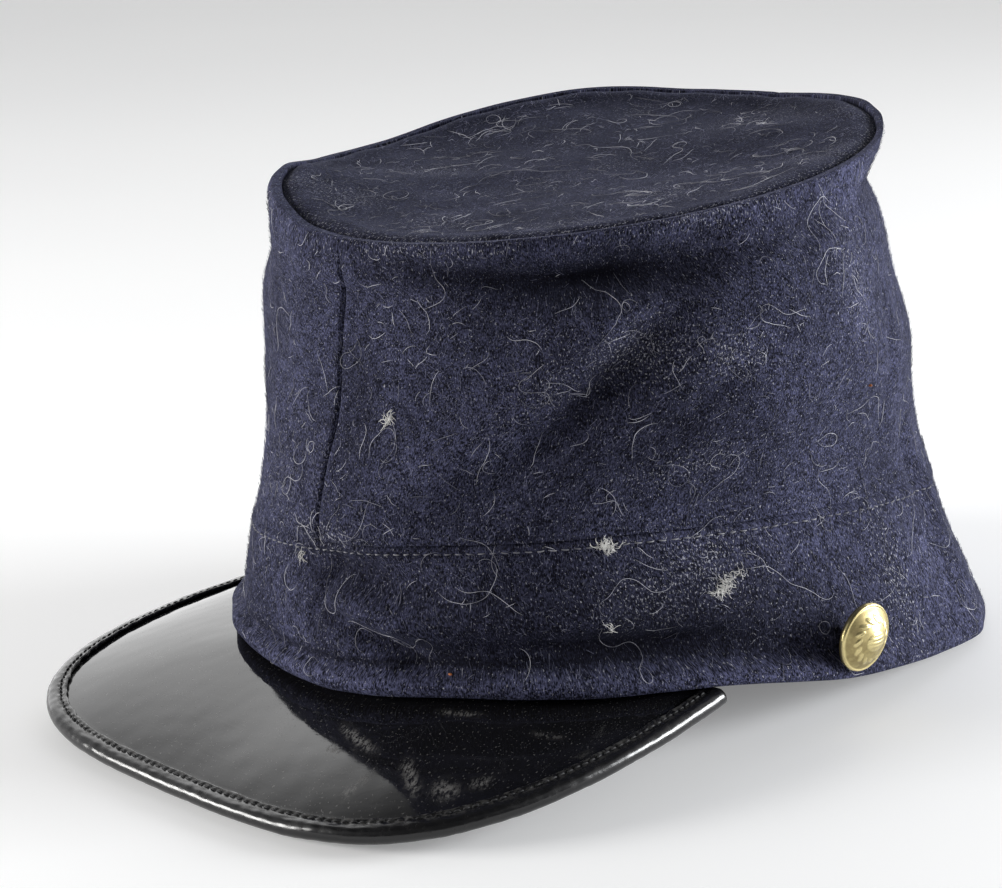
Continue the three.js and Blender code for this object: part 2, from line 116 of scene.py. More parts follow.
MM_PER_DEGREE = 1.45  # round the wall, roughly
STITCH_STEP = 2.7 / MM_PER_DEGREE  # in degrees
ROLL_HEIGHT = 6.0
ROLL_SHARE = 0.09
LEAVES = 15

# ------------------------------------------------------------------ finishing sizes, in metres
BINDING_THREAD_RADIUS = 0.00022
LINT_RADIUS = 0.00006
SPECK_RADIUS = 0.00045
CROWN_MAP_OFFSET = 0.4  # moves the crown's part of the felt pattern away from the wall's

# Points closer than this are one point, in metres for a grid and in mm for what is spun.
GRID_WELD = 1e-7
SPUN_WELD = 1e-4

# Columns are crowded towards the seams: shares of the columns, and the places they are moved to.
NEAR_SEAM_COLUMNS = (0.0, 0.07, 0.93, 1.0)
NEAR_SEAM_PLACES = (0.0, 0.013, 0.987, 1.0)
BAND_SEAM_COLUMNS = (0.0, 0.02, 0.98, 1.0)
BAND_SEAM_PLACES = (0.0, 0.005, 0.995, 1.0)

# Fibres' tones that the colour settings don't cover.
THREAD_DULL = (0.10, 0.10, 0.12)
DARK_THREAD = (0.030, 0.030, 0.032)
DARK_THREAD_DULL = (0.008, 0.008, 0.009)
HAIR_DULL = (0.12, 0.12, 0.15)
LINT = (0.88, 0.87, 0.84)
LINT_DULL = (0.60, 0.59, 0.57)
NAP = (0.22, 0.225, 0.32)
NAP_DULL = (0.05, 0.052, 0.085)
RUST = (0.50, 0.18, 0.06)
RUST_DULL = (0.22, 0.07, 0.03)


def rows(columns, *lines):
    """A table as a list of dictionaries, one for each line, with the columns' names as keys."""
    return [dict(zip(columns.split(), line)) for line in lines]


# The oval sections of the outer wall, from the rim to the crown seam, as the frame has them.
SECTIONS = rows(
    "name height slope middle reach half",
    ("rim", 0, 0.0, 2.3, 98.8, 81.0),
    ("above_hem", 9, 0.005, 1.3, 97.6, 78.0),
    ("band_middle", 20, 0.01, -0.5, 95.5, 73.0),
    ("band_top", 36, 0.02, -3.0, 91.0, 68.0),
    ("waist", 48, 0.03, -4.5, 86.5, 69.5),
    ("body_middle", 62, 0.05, -5.7, 81.8, 73.5),
    ("shoulder", 78, 0.08, -8.2, 78.6, 74.4),
    ("below_roll", 92, 0.12, -10.5, 76.0, 73.0),
    ("roll_foot", 98, 0.145, -11.8, 75.4, 70.5),
    ("roll_side", 103, 0.151, -12.0, 75.2, 69.2),
    ("roll_top", 106, 0.151, -12.0, 74.0, 67.4),
    ("crown_seam", 106, 0.151, -12.0, 71.9, 65.3),
)

RIM_LINE = rows(
    "bearing rise",
    (-180, -10.0),
    (-150, -11.0),
    (-120, -10.5),
    (-90, -6.8),
    (-60, -1.6),
    (-30, -2.4),
    (0, -4.8),
    (30, -2.4),
    (60, -1.6),
    (90, -6.8),
    (120, -10.5),
    (150, -11.0),
)
CROWN_LINE = rows(
    "bearing rise",
    (-180, 0.5),
    (-160, 1.2),
    (-135, 3.6),
    (-110, 2.2),
    (-90, 0.3),
    (-70, 2.0),
    (-50, 5.5),
    (-30, 4.0),
    (-10, 1.0),
    (10, 0.0),
    (120, 0.5),
    (150, 2.5),
)

# Dents (depth < 0) and ridges (depth > 0). length and width are half sizes in mm, and lean turns
# the length from level, in degrees.
FOLDS = rows(
    "name bearing height length width lean depth",
    ("hollow_under_roll", 40, 99, 44, 9, 3, -4.5),
    ("hollow_heart", 48, 99, 22, 7, 3, -4.0),
    ("ledge_under_hollow", 50, 84, 26, 7, 8, 2.0),
    ("slanting_valley", 47, 70, 32, 9, 48, -4.0),
    ("soft_cheek", 80, 72, 26, 20, 70, 2.0),
    ("neck_below_roll", 138, 99, 50, 6, 0, -3.5),
    ("slope_below_neck", 132, 84, 50, 18, 0, -4.5),
    ("roll_at_back", 145, 113, 60, 7, 0, 2.5),
    ("band_hollow", 14, 24.5, 26, 6, -3, -2.5),
    ("band_ridge", 21, 17.5, 26, 4, 0, 1.5),
    ("band_valley", 17, 9.5, 20, 4, -16, -2.0),
    ("hollow_over_hem", 52, 8.5, 34, 5, 0, -4.0),
    ("standing_ridge", 123, 17, 18, 7, 82, 2.0),
    ("flare_at_back", 132, 0, 26, 12, 0, 4.5),
    ("far_hollow", -62, 97, 34, 10, -4, -5.0),
    ("far_valley", -75, 66, 30, 11, -50, -3.0),
    ("far_neck", -140, 101, 50, 6, 0, -3.0),
    ("far_roll", -145, 113, 60, 7, 0, 2.0),
    ("far_hem_hollow", -68, 9, 30, 5, 0, -2.5),
    ("far_front_flare", -45, 0, 25, 8, 0, 1.5),
    ("far_flare", -135, 0, 26, 10, 0, 2.0),
)

# The finer creases that the cloth has and the frame's broad facets leave out.
FINE_FOLDS = rows(
    "name bearing height length width lean depth",
    ("hollow_front_crease", 27, 100.5, 28, 3.4, -11, -2.4),
    ("hollow_crease", 50, 96.5, 22, 3.6, 4, -3.4),
    ("lip_of_front_crease", 29, 93.5, 24, 3.0, -11, 0.8),
    ("hollow_lip", 53, 90.0, 18, 2.8, 5, 1.9),
    ("roll_over_hollow", 38, 106.5, 36, 3.0, -3, 1.0),
    ("slanting_crease", 49, 72, 28, 4.5, 47, -2.0),
    ("swell_over_crease", 41, 76, 24, 5.0, 47, 1.2),
    ("swell_under_crease", 60, 70, 16, 6.0, 47, 0.8),
    ("crease_by_front_seam", 2, 19, 9, 1.6, 62, -1.0),
    ("band_front_valley", 8, 24.0, 18, 3.6, -5, -2.8),
    ("band_front_tongue", 17, 15.0, 13, 2.6, -14, 2.6),
    ("band_crease", 15, 10.0, 13, 2.0, -22, -2.2),
    ("band_shoulder", 40, 17, 26, 3.2, 0, 1.0),
    ("hem_crease", 50, 9.2, 34, 3.0, -1, -3.4),
    ("cheek_crease", 62, 64, 12, 2.5, 34, -0.8),
    ("waist_pucker", 24, 38, 16, 3.0, 4, -0.8),
    ("waist_swell", 20, 50, 18, 7.0, 10, 1.0),
    ("pinch_at_back", 118, 34, 14, 4.0, 84, -1.6),
    ("back_crease", 109, 60, 26, 3.0, 78, -0.8),
    ("crease_into_roll", 92, 101, 13, 2.2, 24, -1.4),
    ("far_crease", -58, 92, 14, 2.2, -6, -1.2),
    ("far_cheek_crease", -80, 60, 20, 2.6, -40, -0.8),
    ("centre_back_pinch", 172, 60, 24, 3.0, 86, -0.6),
)

# Painted shade in the creases and hollows and on the sides turned from the light, and painted light (amount <
# 0) on the hem, ridges and edges that catch the light.
PAINTED_SHADE_AND_LIGHT = rows(
    "name bearing height length width lean amount",
    ("front_of_hollow", 26, 100.3, 24, 4.2, -11, 0.70),
    ("hollow", 48, 97.0, 23, 4.8, 3, 0.92),
    ("slanting_crease", 49, 72, 30, 5.0, 47, 0.50),
    ("lower_cheek", 60, 58, 20, 15, 0, 0.42),
    ("crease_to_back", 84, 100.5, 22, 3.6, 4, 0.40),
    ("band_front_valley", 9, 24.3, 16, 4.2, -5, 0.55),
    ("band_middle", 34, 21, 22, 8.0, 0, 0.35),
    ("band_side", 60, 16, 30, 9.0, 0, 0.62),
    ("band_crease", 20, 12, 13, 2.0, -22, 0.65),
    ("under_tongue", 16, 9.6, 12, 1.4, -20, 0.60),
    ("over_hem", 51, 9.2, 33, 4.2, -1, 0.85),
    ("by_front_seam", 3, 14, 5, 7.0, 0, 0.30),
    ("beside_front_seam", 6, 70, 5, 30, 0, 0.25),
    ("hem_groove", 18, 6.6, 80, 1.2, 0, 0.80),
    ("far_hem_groove", -60, 6.6, 50, 1.2, 0, 0.60),
    ("band_edge", 14, 29.0, 22, 1.4, 3, 0.50),
    ("far_hollow", -58, 96, 30, 5.0, -5, 0.80),
    ("far_valley", -75, 64, 28, 6.0, -50, 0.35),
    ("far_over_hem", -68, 9, 30, 4.0, 0, 0.70),
    ("hem", 10, 2.8, 44, 2.8, 0, -0.9),
    ("hem_at_side", 66, 2.8, 36, 2.6, 0, -0.6),
    ("tongue", 17, 16.0, 12, 2.6, -14, -0.5),
    ("front_swell", 20, 52, 14, 9, 20, -0.25),
    ("back_of_band", 112, 18, 10, 12, 0, -0.3),
    ("roll_at_back", 104, 104, 12, 6, 0, -0.7),
    ("back_edge", 100, 80, 8, 20, 0, -0.3),
    ("neck_at_back", 140, 100, 44, 4.0, 0, 0.50),
    ("far_neck", -140, 101, 44, 4.0, 0, 0.50),
)

# Where fluff and broken fibres have settled on the wool.
DUST = rows(
    "name bearing height length width lean amount",
    ("below_hollow", 54, 78, 15, 8, 10, 1.0),
    ("cheek", 68, 76, 10, 6, -20, 0.9),
    ("mid_front", 38, 70, 12, 5, 40, 0.7),
    ("waist", 64, 49, 14, 4, 8, 0.7),
    ("band_side", 66, 25, 12, 8, 0, 1.0),
    ("band_front", 57, 19, 12, 7, 0, 0.8),
    ("under_button", 101, 16, 6, 14, 0, 0.8),
    ("band_at_front", 2, 31, 14, 4, 0, 0.9),
    ("front_side", -14, 40, 8, 20, 0, 0.5),
    ("upper_back", 98, 84, 8, 16, 0, 0.7),
    ("seam_edge", 20, 109, 30, 3, 0, 0.9),
    ("seam_edge_side", 70, 109, 20, 3, 0, 0.9),
    ("far_side", -80, 50, 30, 20, 0, 0.6),
    ("far_back", -140, 30, 30, 16, 0, 0.6),
)

# Pale rubbed marks on the peak: along and across are shares of its outline and its width.
SCUFFS = rows(
    "name along across length width lean strength",
    ("long_rub", 0.625, 0.45, 9.0, 1.3, 22, 1.0),
    ("short_rub", 0.61, 0.56, 2.6, 1.2, 10, 0.8),
    ("front_rub", 0.70, 0.72, 6.5, 1.5, 55, 0.9),
    ("corner_rub", 0.735, 0.84, 4.0, 2.2, 30, 0.9),
    ("edge_rub", 0.765, 0.84, 3.0, 1.6, 10, 0.7),
    ("under_hem_rub", 0.72, 0.22, 8.0, 0.8, 6, 0.8),
    ("dark_smear", 0.655, 0.78, 5.0, 1.4, -60, 0.5),
    ("right_smear", 0.82, 0.55, 6.0, 1.0, 30, 0.35),
    ("far_rub", 0.30, 0.55, 5.0, 1.0, -20, 0.4),
)

TUFTS = rows(
    "name bearing height length width lean fibres",
    ("tuft_on_band_edge", 52, 31.6, 2.4, 0.8, -6, 90),
    ("tuft_on_band", 68, 20.4, 3.2, 0.8, 32, 110),
    ("tuft_at_front_seam", -5, 25.0, 0.9, 0.9, 70, 16),
    ("tuft_on_front", 12, 62.2, 1.0, 0.6, 74, 36),
    ("tuft_over_hem", 50, 13.9, 0.8, 0.7, 0, 12),
    ("tuft_under_band_edge", 71, 22.8, 1.0, 0.8, 40, 14),
    ("tuft_at_back", -150, 52.0, 1.4, 1.0, 10, 18),
)

SPECKS = rows(
    "name bearing height",
    ("speck_over_hem", 25, 4.6),
    ("speck_at_side", 100, 59.4),
    ("speck_at_far_side", -95, 40.0),
)


# ------------------------------------------------------------------ the wall's form
def between(table, places, column, place):
    """Value of a table's column at each place, smooth between rows and never overshooting them."""
    values = np.array([row[column] for row in table], float)
    places = np.array(places, float)
    chords = np.diff(values) / np.diff(places)
    tangents = np.concatenate([chords[:1], np.zeros(len(values) - 2), chords[-1:]])
    before, after = chords[:-1], chords[1:]
    same_way = before * after > 0
    total = np.where(same_way, before + after, 1.0)
    tangents[1:-1] = np.where(same_way, 2 * before * after / total, 0.0)
    i = np.clip(np.searchsorted(places, place) - 1, 0, len(places) - 2)
    span = places[i + 1] - places[i]
    f = np.clip((place - places[i]) / span, 0, 1)
    rise = values[i + 1] - values[i]
    m0, m1 = tangents[i] * span, tangents[i + 1] * span
    cubic = f**3 * (m0 + m1 - 2 * rise)
    return values[i] + f * m0 + f * f * (3 * rise - 2 * m0 - m1) + cubic


def rise_at(table, bearing):
    """Value of a rise table at any bearing, going round."""
    turn = (bearing + 180) % 360 - 180
    whole = [*table, {"bearing": table[0]["bearing"] + 360, "rise": table[0]["rise"]}]
    return between(whole, [row["bearing"] for row in whole], "rise", turn)


def section_places():
    """How far each section's row is up the wall from the rim, in mm."""
    places = [0.0]
    for before, row in zip(SECTIONS, SECTIONS[1:]):
        step = math.hypot(row["height"] - before["height"], row["reach"] - before["reach"])
        places.append(places[-1] + step)
    return places


SECTION_PLACES = section_places()
WALL_TOP = SECTION_PLACES[-1]
SEAM_ROW = SECTIONS[-1]


def smoothstep(value, low, high):
    """Rises smoothly from 0 at low to 1 at high, or falls where low is above high."""
    share = np.clip((value - low) / (high - low), 0, 1)
    return share * share * (3 - 2 * share)


def bump(distance, width):
    """A smooth bump of height 1, falling to about a third at width."""
    return np.exp(-((distance / width) ** 2))


def lean_of(row):
    """Cosine and sine of the lean of a table's row."""
    lean = math.radians(row["lean"])
    return math.cos(lean), math.sin(lean)


def patch(row, bearing, height):
    """How near each place is to a table's row, as a smooth oval patch from 0 to 1."""
    turn = (bearing - row["bearing"] + 180) % 360 - 180
    across, up = turn * MM_PER_DEGREE, height - row["height"]
    c, s = lean_of(row)
    along = (across * c + up * s) / row["length"]
    over = (up * c - across * s) / row["width"]
    return np.exp(-along * along - over * over)


def ripple(u, v, seed, wavelength):
    """Gentle seeded waves over a surface, about 1 mm high where u and v are in mm."""
    rng = random.Random(seed)
    waves = 10
    total = np.zeros_like(u)
    for _ in range(waves):
        turn, phase = rng.uniform(0, math.tau), rng.uniform(0, math.tau)
        size = wavelength * rng.uniform(0.7, 1.5)
        total += np.sin(math.tau * (u * math.cos(turn) + v * math.sin(turn)) / size + phase)
    return total / math.sqrt(waves)


def fold_depth(bearing, height):
    """How far the dents and ridges push the wall in or out."""
    settled = np.clip((WALL_TOP - height) / ROLL_HEIGHT, 0, 1)
    depth = np.zeros(len(bearing))
    for fold in [*FOLDS, *FINE_FOLDS]:
        share = settled if fold["depth"] < 0 else 1.0
        depth += share * fold["depth"] * patch(fold, bearing, height)
    u = bearing * MM_PER_DEGREE
    away_from_back = np.clip((180 - np.abs(bearing)) / 12, 0, 1)
    broad = ripple(u, height * 0.7, seed=11, wavelength=34)
    fine = ripple(u, height * 0.8, seed=12, wavelength=13)
    soft = 0.30 * broad + 0.10 * fine
    return depth + soft * away_from_back * np.clip(settled + 0.25, 0, 1)


def wall_points(bearing, height, under):
    """Points of the wall at bearings, heights up it and depths under its outer face."""
    reach, half, middle, level, slope = (
        between(SECTIONS, SECTION_PLACES, column, height)
        for column in ("reach", "half", "middle", "height", "slope")
    )
    t = np.radians(bearing)
    outward = np.stack([reach * np.sin(t), -half * np.cos(t)], 1)
    outward /= np.linalg.norm(outward, axis=1, keepdims=True)
    push = fold_depth(bearing, height) - under
    x = half * np.sin(t) + outward[:, 0] * push
    y = middle - reach * np.cos(t) + outward[:, 1] * push
    rim_share = np.clip(1 - height / BAND_TOP, 0, 1)
    crown_share = smoothstep(height, BAND_TOP, WALL_TOP)
    drift = rim_share * rise_at(RIM_LINE, bearing) + crown_share * rise_at(CROWN_LINE, bearing)
    return np.stack([x, y, level + slope * y + drift], 1)


def band_top(bearing):
    """Height of the join between band and body, which wavers round the cap."""
    return BAND_TOP + BAND_WAVER * np.cos(2 * np.radians(bearing - BAND_WAVER_BEARING))


def seated(points):
    """From the cap's own frame in mm to where it rests, in metres."""
    c, s = math.cos(TIP), math.sin(TIP)
    lift = points[:, 2] - FLOOR_HEIGHT
    y = points[:, 1] * c + lift * s + MIDDLE_Y
    z = np.maximum(0, lift * c - points[:, 1] * s)
    return np.stack([points[:, 0] + MIDDLE_X, y, z], 1) * MM


def crown_points(bearing, share, depth):
    """Points of the crown: share is 0 at its middle and 1 at its seam, and depth is upward."""
    edge = wall_points(bearing, np.full_like(bearing, WALL_TOP), np.full_like(bearing, SEW_GAP))
    level = SEAM_ROW["height"]
    heart = np.array([0.0, SEAM_ROW["middle"], 0.0])
    heart[2] = level + SEAM_ROW["slope"] * heart[1] - CROWN_SAG
    flat_edge = edge.copy()
    flat_edge[:, 2] = level + SEAM_ROW["slope"] * edge[:, 1]
    point = heart + (flat_edge - heart) * share[:, None]
    sag = CROWN_SAG * (share * share - share)
    point[:, 2] += sag + (edge[:, 2] - flat_edge[:, 2]) * share * share + depth
    return point


def crown_relief(bearing, share):
    """The crown's soft waves, and the dip where its edge turns down into the seam."""
    turn = np.radians(bearing)
    u, v = CROWN_RADIUS * share * np.sin(turn), CROWN_RADIUS * share * np.cos(turn)
    waves = 0.45 * ripple(u, v, seed=21, wavelength=46) + 0.12 * ripple(u, v, seed=22, wavelength=15)
    rim = (1 - share) * CROWN_RADIUS
    pucker = 0.16 * np.sin(np.radians(bearing * 26)) * bump(rim - 3.0, 3.0)
    swell = 0.7 * bump(rim - 4.5, 3.2)
    return waves * smoothstep(rim, 0, 9) + pucker + swell - 1.0 * bump(rim, 1.4)


# ------------------------------------------------------------------ meshes
def finish_piece(name, mesh, material, *, replaces=()):
    """Makes an object of a mesh, that rides on the cap's one body."""
    piece = bpy.data.objects.new(name, mesh)
    bpy.context.scene.collection.objects.link(piece)
    piece.data.materials.clear()
    piece.data.materials.append(material)
    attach(piece, "root")
    if replaces:
        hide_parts(*replaces)
    return piece


def formed_grid(columns, rows_of_grid, place, masks):
    """A bmesh grid whose points are moved by place(x, y) with x and y from 0 to 1.

    place gives the points in metres and their UV in metres, and masks gives named values for the
    materials. Where the rows close on themselves they are welded, and open ends are filled, so
    that the result is one closed body.
    """
    bm = bmesh.new()
    bmesh.ops.create_grid(bm, x_segments=columns, y_segments=rows_of_grid, size=0.5)
    bm.verts.index_update()
    flat = np.array([vert.co for vert in bm.verts])[:, :2] + 0.5
    spots, flat_map = place(flat[:, 0], flat[:, 1])
    layer = bm.loops.layers.uv.new("UVMap")
    for face in bm.faces:
        face.smooth = True
        for corner in face.loops:
            corner[layer].uv = flat_map[corner.vert.index]
    for name, values in masks(flat[:, 0], flat[:, 1]).items():
        mask = bm.verts.layers.float.new(name)
        for vert in bm.verts:
            vert[mask] = values[vert.index]
    for vert, spot in zip(bm.verts, spots):
        vert.co = spot
    bmesh.ops.remove_doubles(bm, verts=bm.verts, dist=GRID_WELD)
    rims = [edge for edge in bm.edges if edge.is_boundary]
    if rims:
        filled = bmesh.ops.holes_fill(bm, edges=rims, sides=0)
        bmesh.ops.triangulate(bm, faces=filled["faces"])
    bmesh.ops.recalc_face_normals(bm, faces=bm.faces)
    return bm


def mesh_of(name, bm):
    """Turns a bmesh into a mesh and frees it."""
    mesh = bpy.data.meshes.new(name)
    bm.to_mesh(mesh)
    bm.free()
    return mesh


def tubes(name, paths, radius, material, *, sides=0, thinning=0.0):
    """Many thin threads as one mesh: each path is an array of points in metres."""
    curve = bpy.data.curves.new(name + "_routes", "CURVE")
    curve.dimensions = "3D"
    curve.bevel_depth = radius
    curve.bevel_resolution = sides
    curve.use_fill_caps = True
    for path in paths:
        spline = curve.splines.new("POLY")
        spline.points.add(len(path) - 1)
        spline.points.foreach_set("co", np.c_[path, np.ones(len(path))].ravel())
        along = np.linspace(-1, 1, len(path))
        spline.points.foreach_set("radius", 1 - thinning * along**4)
    route = bpy.data.objects.new(name + "_route", curve)
    bpy.context.scene.collection.objects.link(route)
    bpy.context.view_layer.update()
    graph = bpy.context.evaluated_depsgraph_get()
    mesh = bpy.data.meshes.new_from_object(route.evaluated_get(graph))
    mesh.name = name
    bpy.data.objects.remove(route)
    bpy.data.curves.remove(curve)
    mesh.shade_smooth()
    return finish_piece(name, mesh, material)


# ------------------------------------------------------------------ shader helpers
class Graph:
    """Adds nodes to a tree, with inputs given as values or as sockets to link."""

    def __init__(self, tree):
        self.tree = tree

    def add(self, kind, inputs=None, output=0, **settings):
        node = self.tree.nodes.new(kind)
        for name, value in settings.items():
            setattr(node, name, value)
        for key, value in (inputs or {}).items():
            socket = node.inputs[key]
            if isinstance(value, bpy.types.NodeSocket):
                self.tree.links.new(value, socket)
            else:
                socket.default_value = value
        return node if output is None else node.outputs[output]

    def math(self, operation, a, b=0.0, clamp=False):
        return self.add("ShaderNodeMath", {0: a, 1: b}, operation=operation, use_clamp=clamp)

    def mix(self, share, a, b):
        return self.add("ShaderNodeMix", {0: share, 6: a, 7: b}, output=2, data_type="RGBA")

    def blend(self, share, a, b):
        return self.add("ShaderNodeMix", {0: share, 2: a, 3: b}, output=0, data_type="FLOAT")

    def span(self, value, low, high, to_low=0.0, to_high=1.0):
        inputs = {0: value, 1: low, 2: high, 3: to_low, 4: to_high}
        return self.add("ShaderNodeMapRange", inputs, interpolation_type="SMOOTHSTEP")

    def noise(self, vector, scale, detail=2.0, roughness=0.5, distortion=0.0):
        inputs = {"Vector": vector, "Scale": scale, "Detail": detail}
        inputs.update({"Roughness": roughness, "Distortion": distortion})
        return self.add("ShaderNodeTexNoise", inputs, output="Fac")

    def stretch(self, vector, scale, offset=(0.0, 0.0, 0.0), turn=0.0):
        inputs = {"Vector": vector, "Location": offset, "Scale": scale}
        inputs["Rotation"] = (0.0, 0.0, turn)
        return self.add("ShaderNodeMapping", inputs)

    def bumped(self, height, strength, distance):
        inputs = {"Height": height, "Strength": strength, "Distance": distance}
        return self.add("ShaderNodeBump", inputs)

    def placed(self, tree, inputs):
        """A node that places a group in this tree, with all its outputs."""
        return self.add("ShaderNodeGroup", inputs, output=None, node_tree=tree)

    def feed(self, node, **sockets):
        """Links outputs to a node's inputs, which are named with _ for a space."""
        for label, socket in sockets.items():
            self.tree.links.new(socket, node.inputs[label.replace("_", " ")])


def group(name, inputs, outputs):
    """A new shader node group with its sockets, as (tree, graph, input node, output node)."""
    tree = bpy.data.node_groups.new(name, "ShaderNodeTree")
    for label, kind in inputs.items():
        tree.interface.new_socket(label, in_out="INPUT", socket_type=kind)
    for label, kind in outputs.items():
        tree.interface.new_socket(label, in_out="OUTPUT", socket_type=kind)
    graph = Graph(tree)
    return tree, graph, graph.add("NodeGroupInput", output=None), tree.nodes.new("NodeGroupOutput")


def new_material(name, **constants):
    """A material with its Principled shader's constant sockets set, as (material, graph, shader)."""
    material = bpy.data.materials.new(name)
    material.use_nodes = True
    shader = material.node_tree.nodes["Principled BSDF"]
    for label, value in constants.items():
        shader.inputs[label.replace("_", " ")].default_value = value
    return material, Graph(material.node_tree), shader


# ------------------------------------------------------------------ shader node groups
def felt_group():
    """Felted wool: short matted fibres, with pale flecks where dust has settled; the Shade input paints shade
    where it is above 0 and light where it is below 0.
    """
    inputs = {
        "Vector": "NodeSocketVector",
        "Dust": "NodeSocketFloat",
        "Shade": "NodeSocketFloat",
        "Dark": "NodeSocketColor",
        "Light": "NodeSocketColor",
        "Hair": "NodeSocketColor",
    }
    outputs = {"Color": "NodeSocketColor", "Height": "NodeSocketFloat"}
    tree, g, given, result = group("felted_wool", inputs, outputs)
    at = given.outputs["Vector"]
    wander = g.add("ShaderNodeTexNoise", {"Vector": at, "Scale": 160.0, "Detail": 2.0}, output="Color")
    shift = g.add("ShaderNodeVectorMath", {0: wander, 1: (0.5, 0.5, 0.5)}, operation="SUBTRACT")
    small = g.add("ShaderNodeVectorMath", {0: shift, "Scale": 0.0016}, operation="SCALE")
    bent = g.add("ShaderNodeVectorMath", {0: at, 1: small}, operation="ADD")
    upright = g.noise(g.stretch(bent, (3700.0, 1200.0, 1.0)), 1.0, 3.0, 0.62)
    crossed = g.noise(g.stretch(bent, (1500.0, 2100.0, 1.0), (3.1, 1.7, 0.0), 0.7), 1.0, 2.0, 0.6)
    clumps = g.noise(g.stretch(at, (420.0, 300.0, 1.0), (7.0, 2.0, 0.0)), 1.0, 3.0, 0.55)
    cloud = g.noise(g.stretch(at, (48.0, 40.0, 1.0), (1.3, 5.2, 0.0)), 1.0, 2.0, 0.5)
    nap = g.math("ADD", g.math("MULTIPLY", upright, 0.55), g.math("MULTIPLY", crossed, 0.25))
    nap = g.math("ADD", nap, g.math("MULTIPLY", clumps, 0.20))
    tone = g.span(nap, 0.42, 0.66)
    # Painted shade darkens the tone where Shade is above 0, and painted light brightens it where Shade is
    # below 0.
    lit = g.math("SUBTRACT", 1.0, given.outputs["Shade"])
    tone = g.math("MULTIPLY", tone, lit)
    tone = g.math("MULTIPLY", tone, g.span(cloud, 0.25, 0.75, 0.72, 1.25))
    cloth = g.mix(tone, given.outputs["Dark"], given.outputs["Light"])
    flecks = g.noise(g.stretch(bent, (2300.0, 1300.0, 1.0), (5.0, 9.0, 0.0)), 1.0, 2.0, 0.7)
    need = g.math("SUBTRACT", 0.63, g.math("MULTIPLY", given.outputs["Dust"], 0.07))
    flecks = g.span(g.math("SUBTRACT", flecks, need), 0.0, 0.06)
    # The pale flecks fade under the painted shade.
    pale = g.math("MULTIPLY", g.math("MULTIPLY", flecks, 0.5), g.span(lit, 0.0, 0.7, 0.25, 1.0))
    colour = g.mix(pale, cloth, given.outputs["Hair"])
    height = g.math("ADD", nap, g.math("MULTIPLY", pale, 0.35))
    g.feed(result, Color=colour, Height=height)
    return tree


def grain_group():
    """Fine creases and pores of leather."""
    inputs = {"Vector": "NodeSocketVector", "Crease Scale": "NodeSocketFloat"}
    outputs = {"Height": "NodeSocketFloat"}
    tree, g, given, result = group("leather_grain", inputs, outputs)
    at = given.outputs["Vector"]
    scaled = g.add(
        "ShaderNodeVectorMath", {0: at, "Scale": given.outputs["Crease Scale"]}, operation="SCALE"
    )
    creases = g.noise(g.stretch(scaled, (0.35, 1.0, 1.0)), 1.0, 3.0, 0.55, 0.8)
    pores = g.noise(g.stretch(scaled, (5.0, 5.0, 5.0)), 1.0, 2.0, 0.6)
    height = g.math("ADD", creases, g.math("MULTIPLY", pores, 0.18))
    g.feed(result, Height=height)
    return tree


# ------------------------------------------------------------------ materials
def wool_material(felt_tree, colours):
    """Navy wool, dusty where its dust mask says so, with painted shade and painted light where its shade mask
    says so.
    """
    _, g, shader = new_material(
        "navy_wool",
        Roughness=0.92,
        Sheen_Weight=0.06,
        Sheen_Roughness=0.45,
        Sheen_Tint=(0.55, 0.60, 1.0, 1.0),
        Specular_IOR_Level=0.04,
    )
    at = g.add("ShaderNodeUVMap", uv_map="UVMap")
    dust = g.add("ShaderNodeAttribute", output="Fac", attribute_name="dust")
    shade = g.add("ShaderNodeAttribute", output="Fac", attribute_name="shade")
    inputs = {
        "Vector": at,
        "Dust": dust,
        "Shade": shade,
        "Dark": (*colours.wool_dark, 1.0),
        "Light": (*colours.wool_light, 1.0),
        "Hair": (*colours.hair, 1.0),
    }
    felt = g.placed(felt_tree, inputs)
    normal = g.bumped(felt.outputs["Height"], 0.6, 0.0006)
    g.feed(shader, Base_Color=felt.outputs["Color"], Normal=normal)


def peak_material(grain_tree, colours):
    """Black patent leather, rubbed pale along its scuffs."""
    _, g, shader = new_material("lacquered_leather", IOR=1.5)
    at = g.add("ShaderNodeUVMap", uv_map="UVMap")
    scuff = g.add("ShaderNodeAttribute", output="Fac", attribute_name="scuff")
    grain = g.placed(grain_tree, {"Vector": at, "Crease Scale": 260.0})
    rough = g.noise(g.stretch(at, (900.0, 500.0, 1.0)), 1.0, 3.0, 0.7)
    rubbed = g.math("MULTIPLY", scuff, g.span(rough, 0.40, 0.62), clamp=True)
    specks = g.noise(g.stretch(at, (1100.0, 1100.0, 1.0), (4.0, 1.0, 0.0)), 1.0, 1.0, 0.5)
    specks = g.span(specks, 0.66, 0.71)
    film = g.noise(g.stretch(at, (60.0, 40.0, 1.0), (2.0, 6.0, 0.0)), 1.0, 3.0, 0.6)
    pale = g.math("MAXIMUM", rubbed, g.math("MULTIPLY", specks, 0.35))
    colour = g.mix(pale, (*colours.patent, 1.0), (*colours.scuff, 1.0))
    gloss = g.span(film, 0.35, 0.70, 0.035, 0.09)
    gloss = g.blend(pale, gloss, 0.62)
    normal = g.bumped(grain.outputs["Height"], 0.15, 0.0001)
    g.feed(shader, Base_Color=colour, Roughness=gloss, Normal=normal)


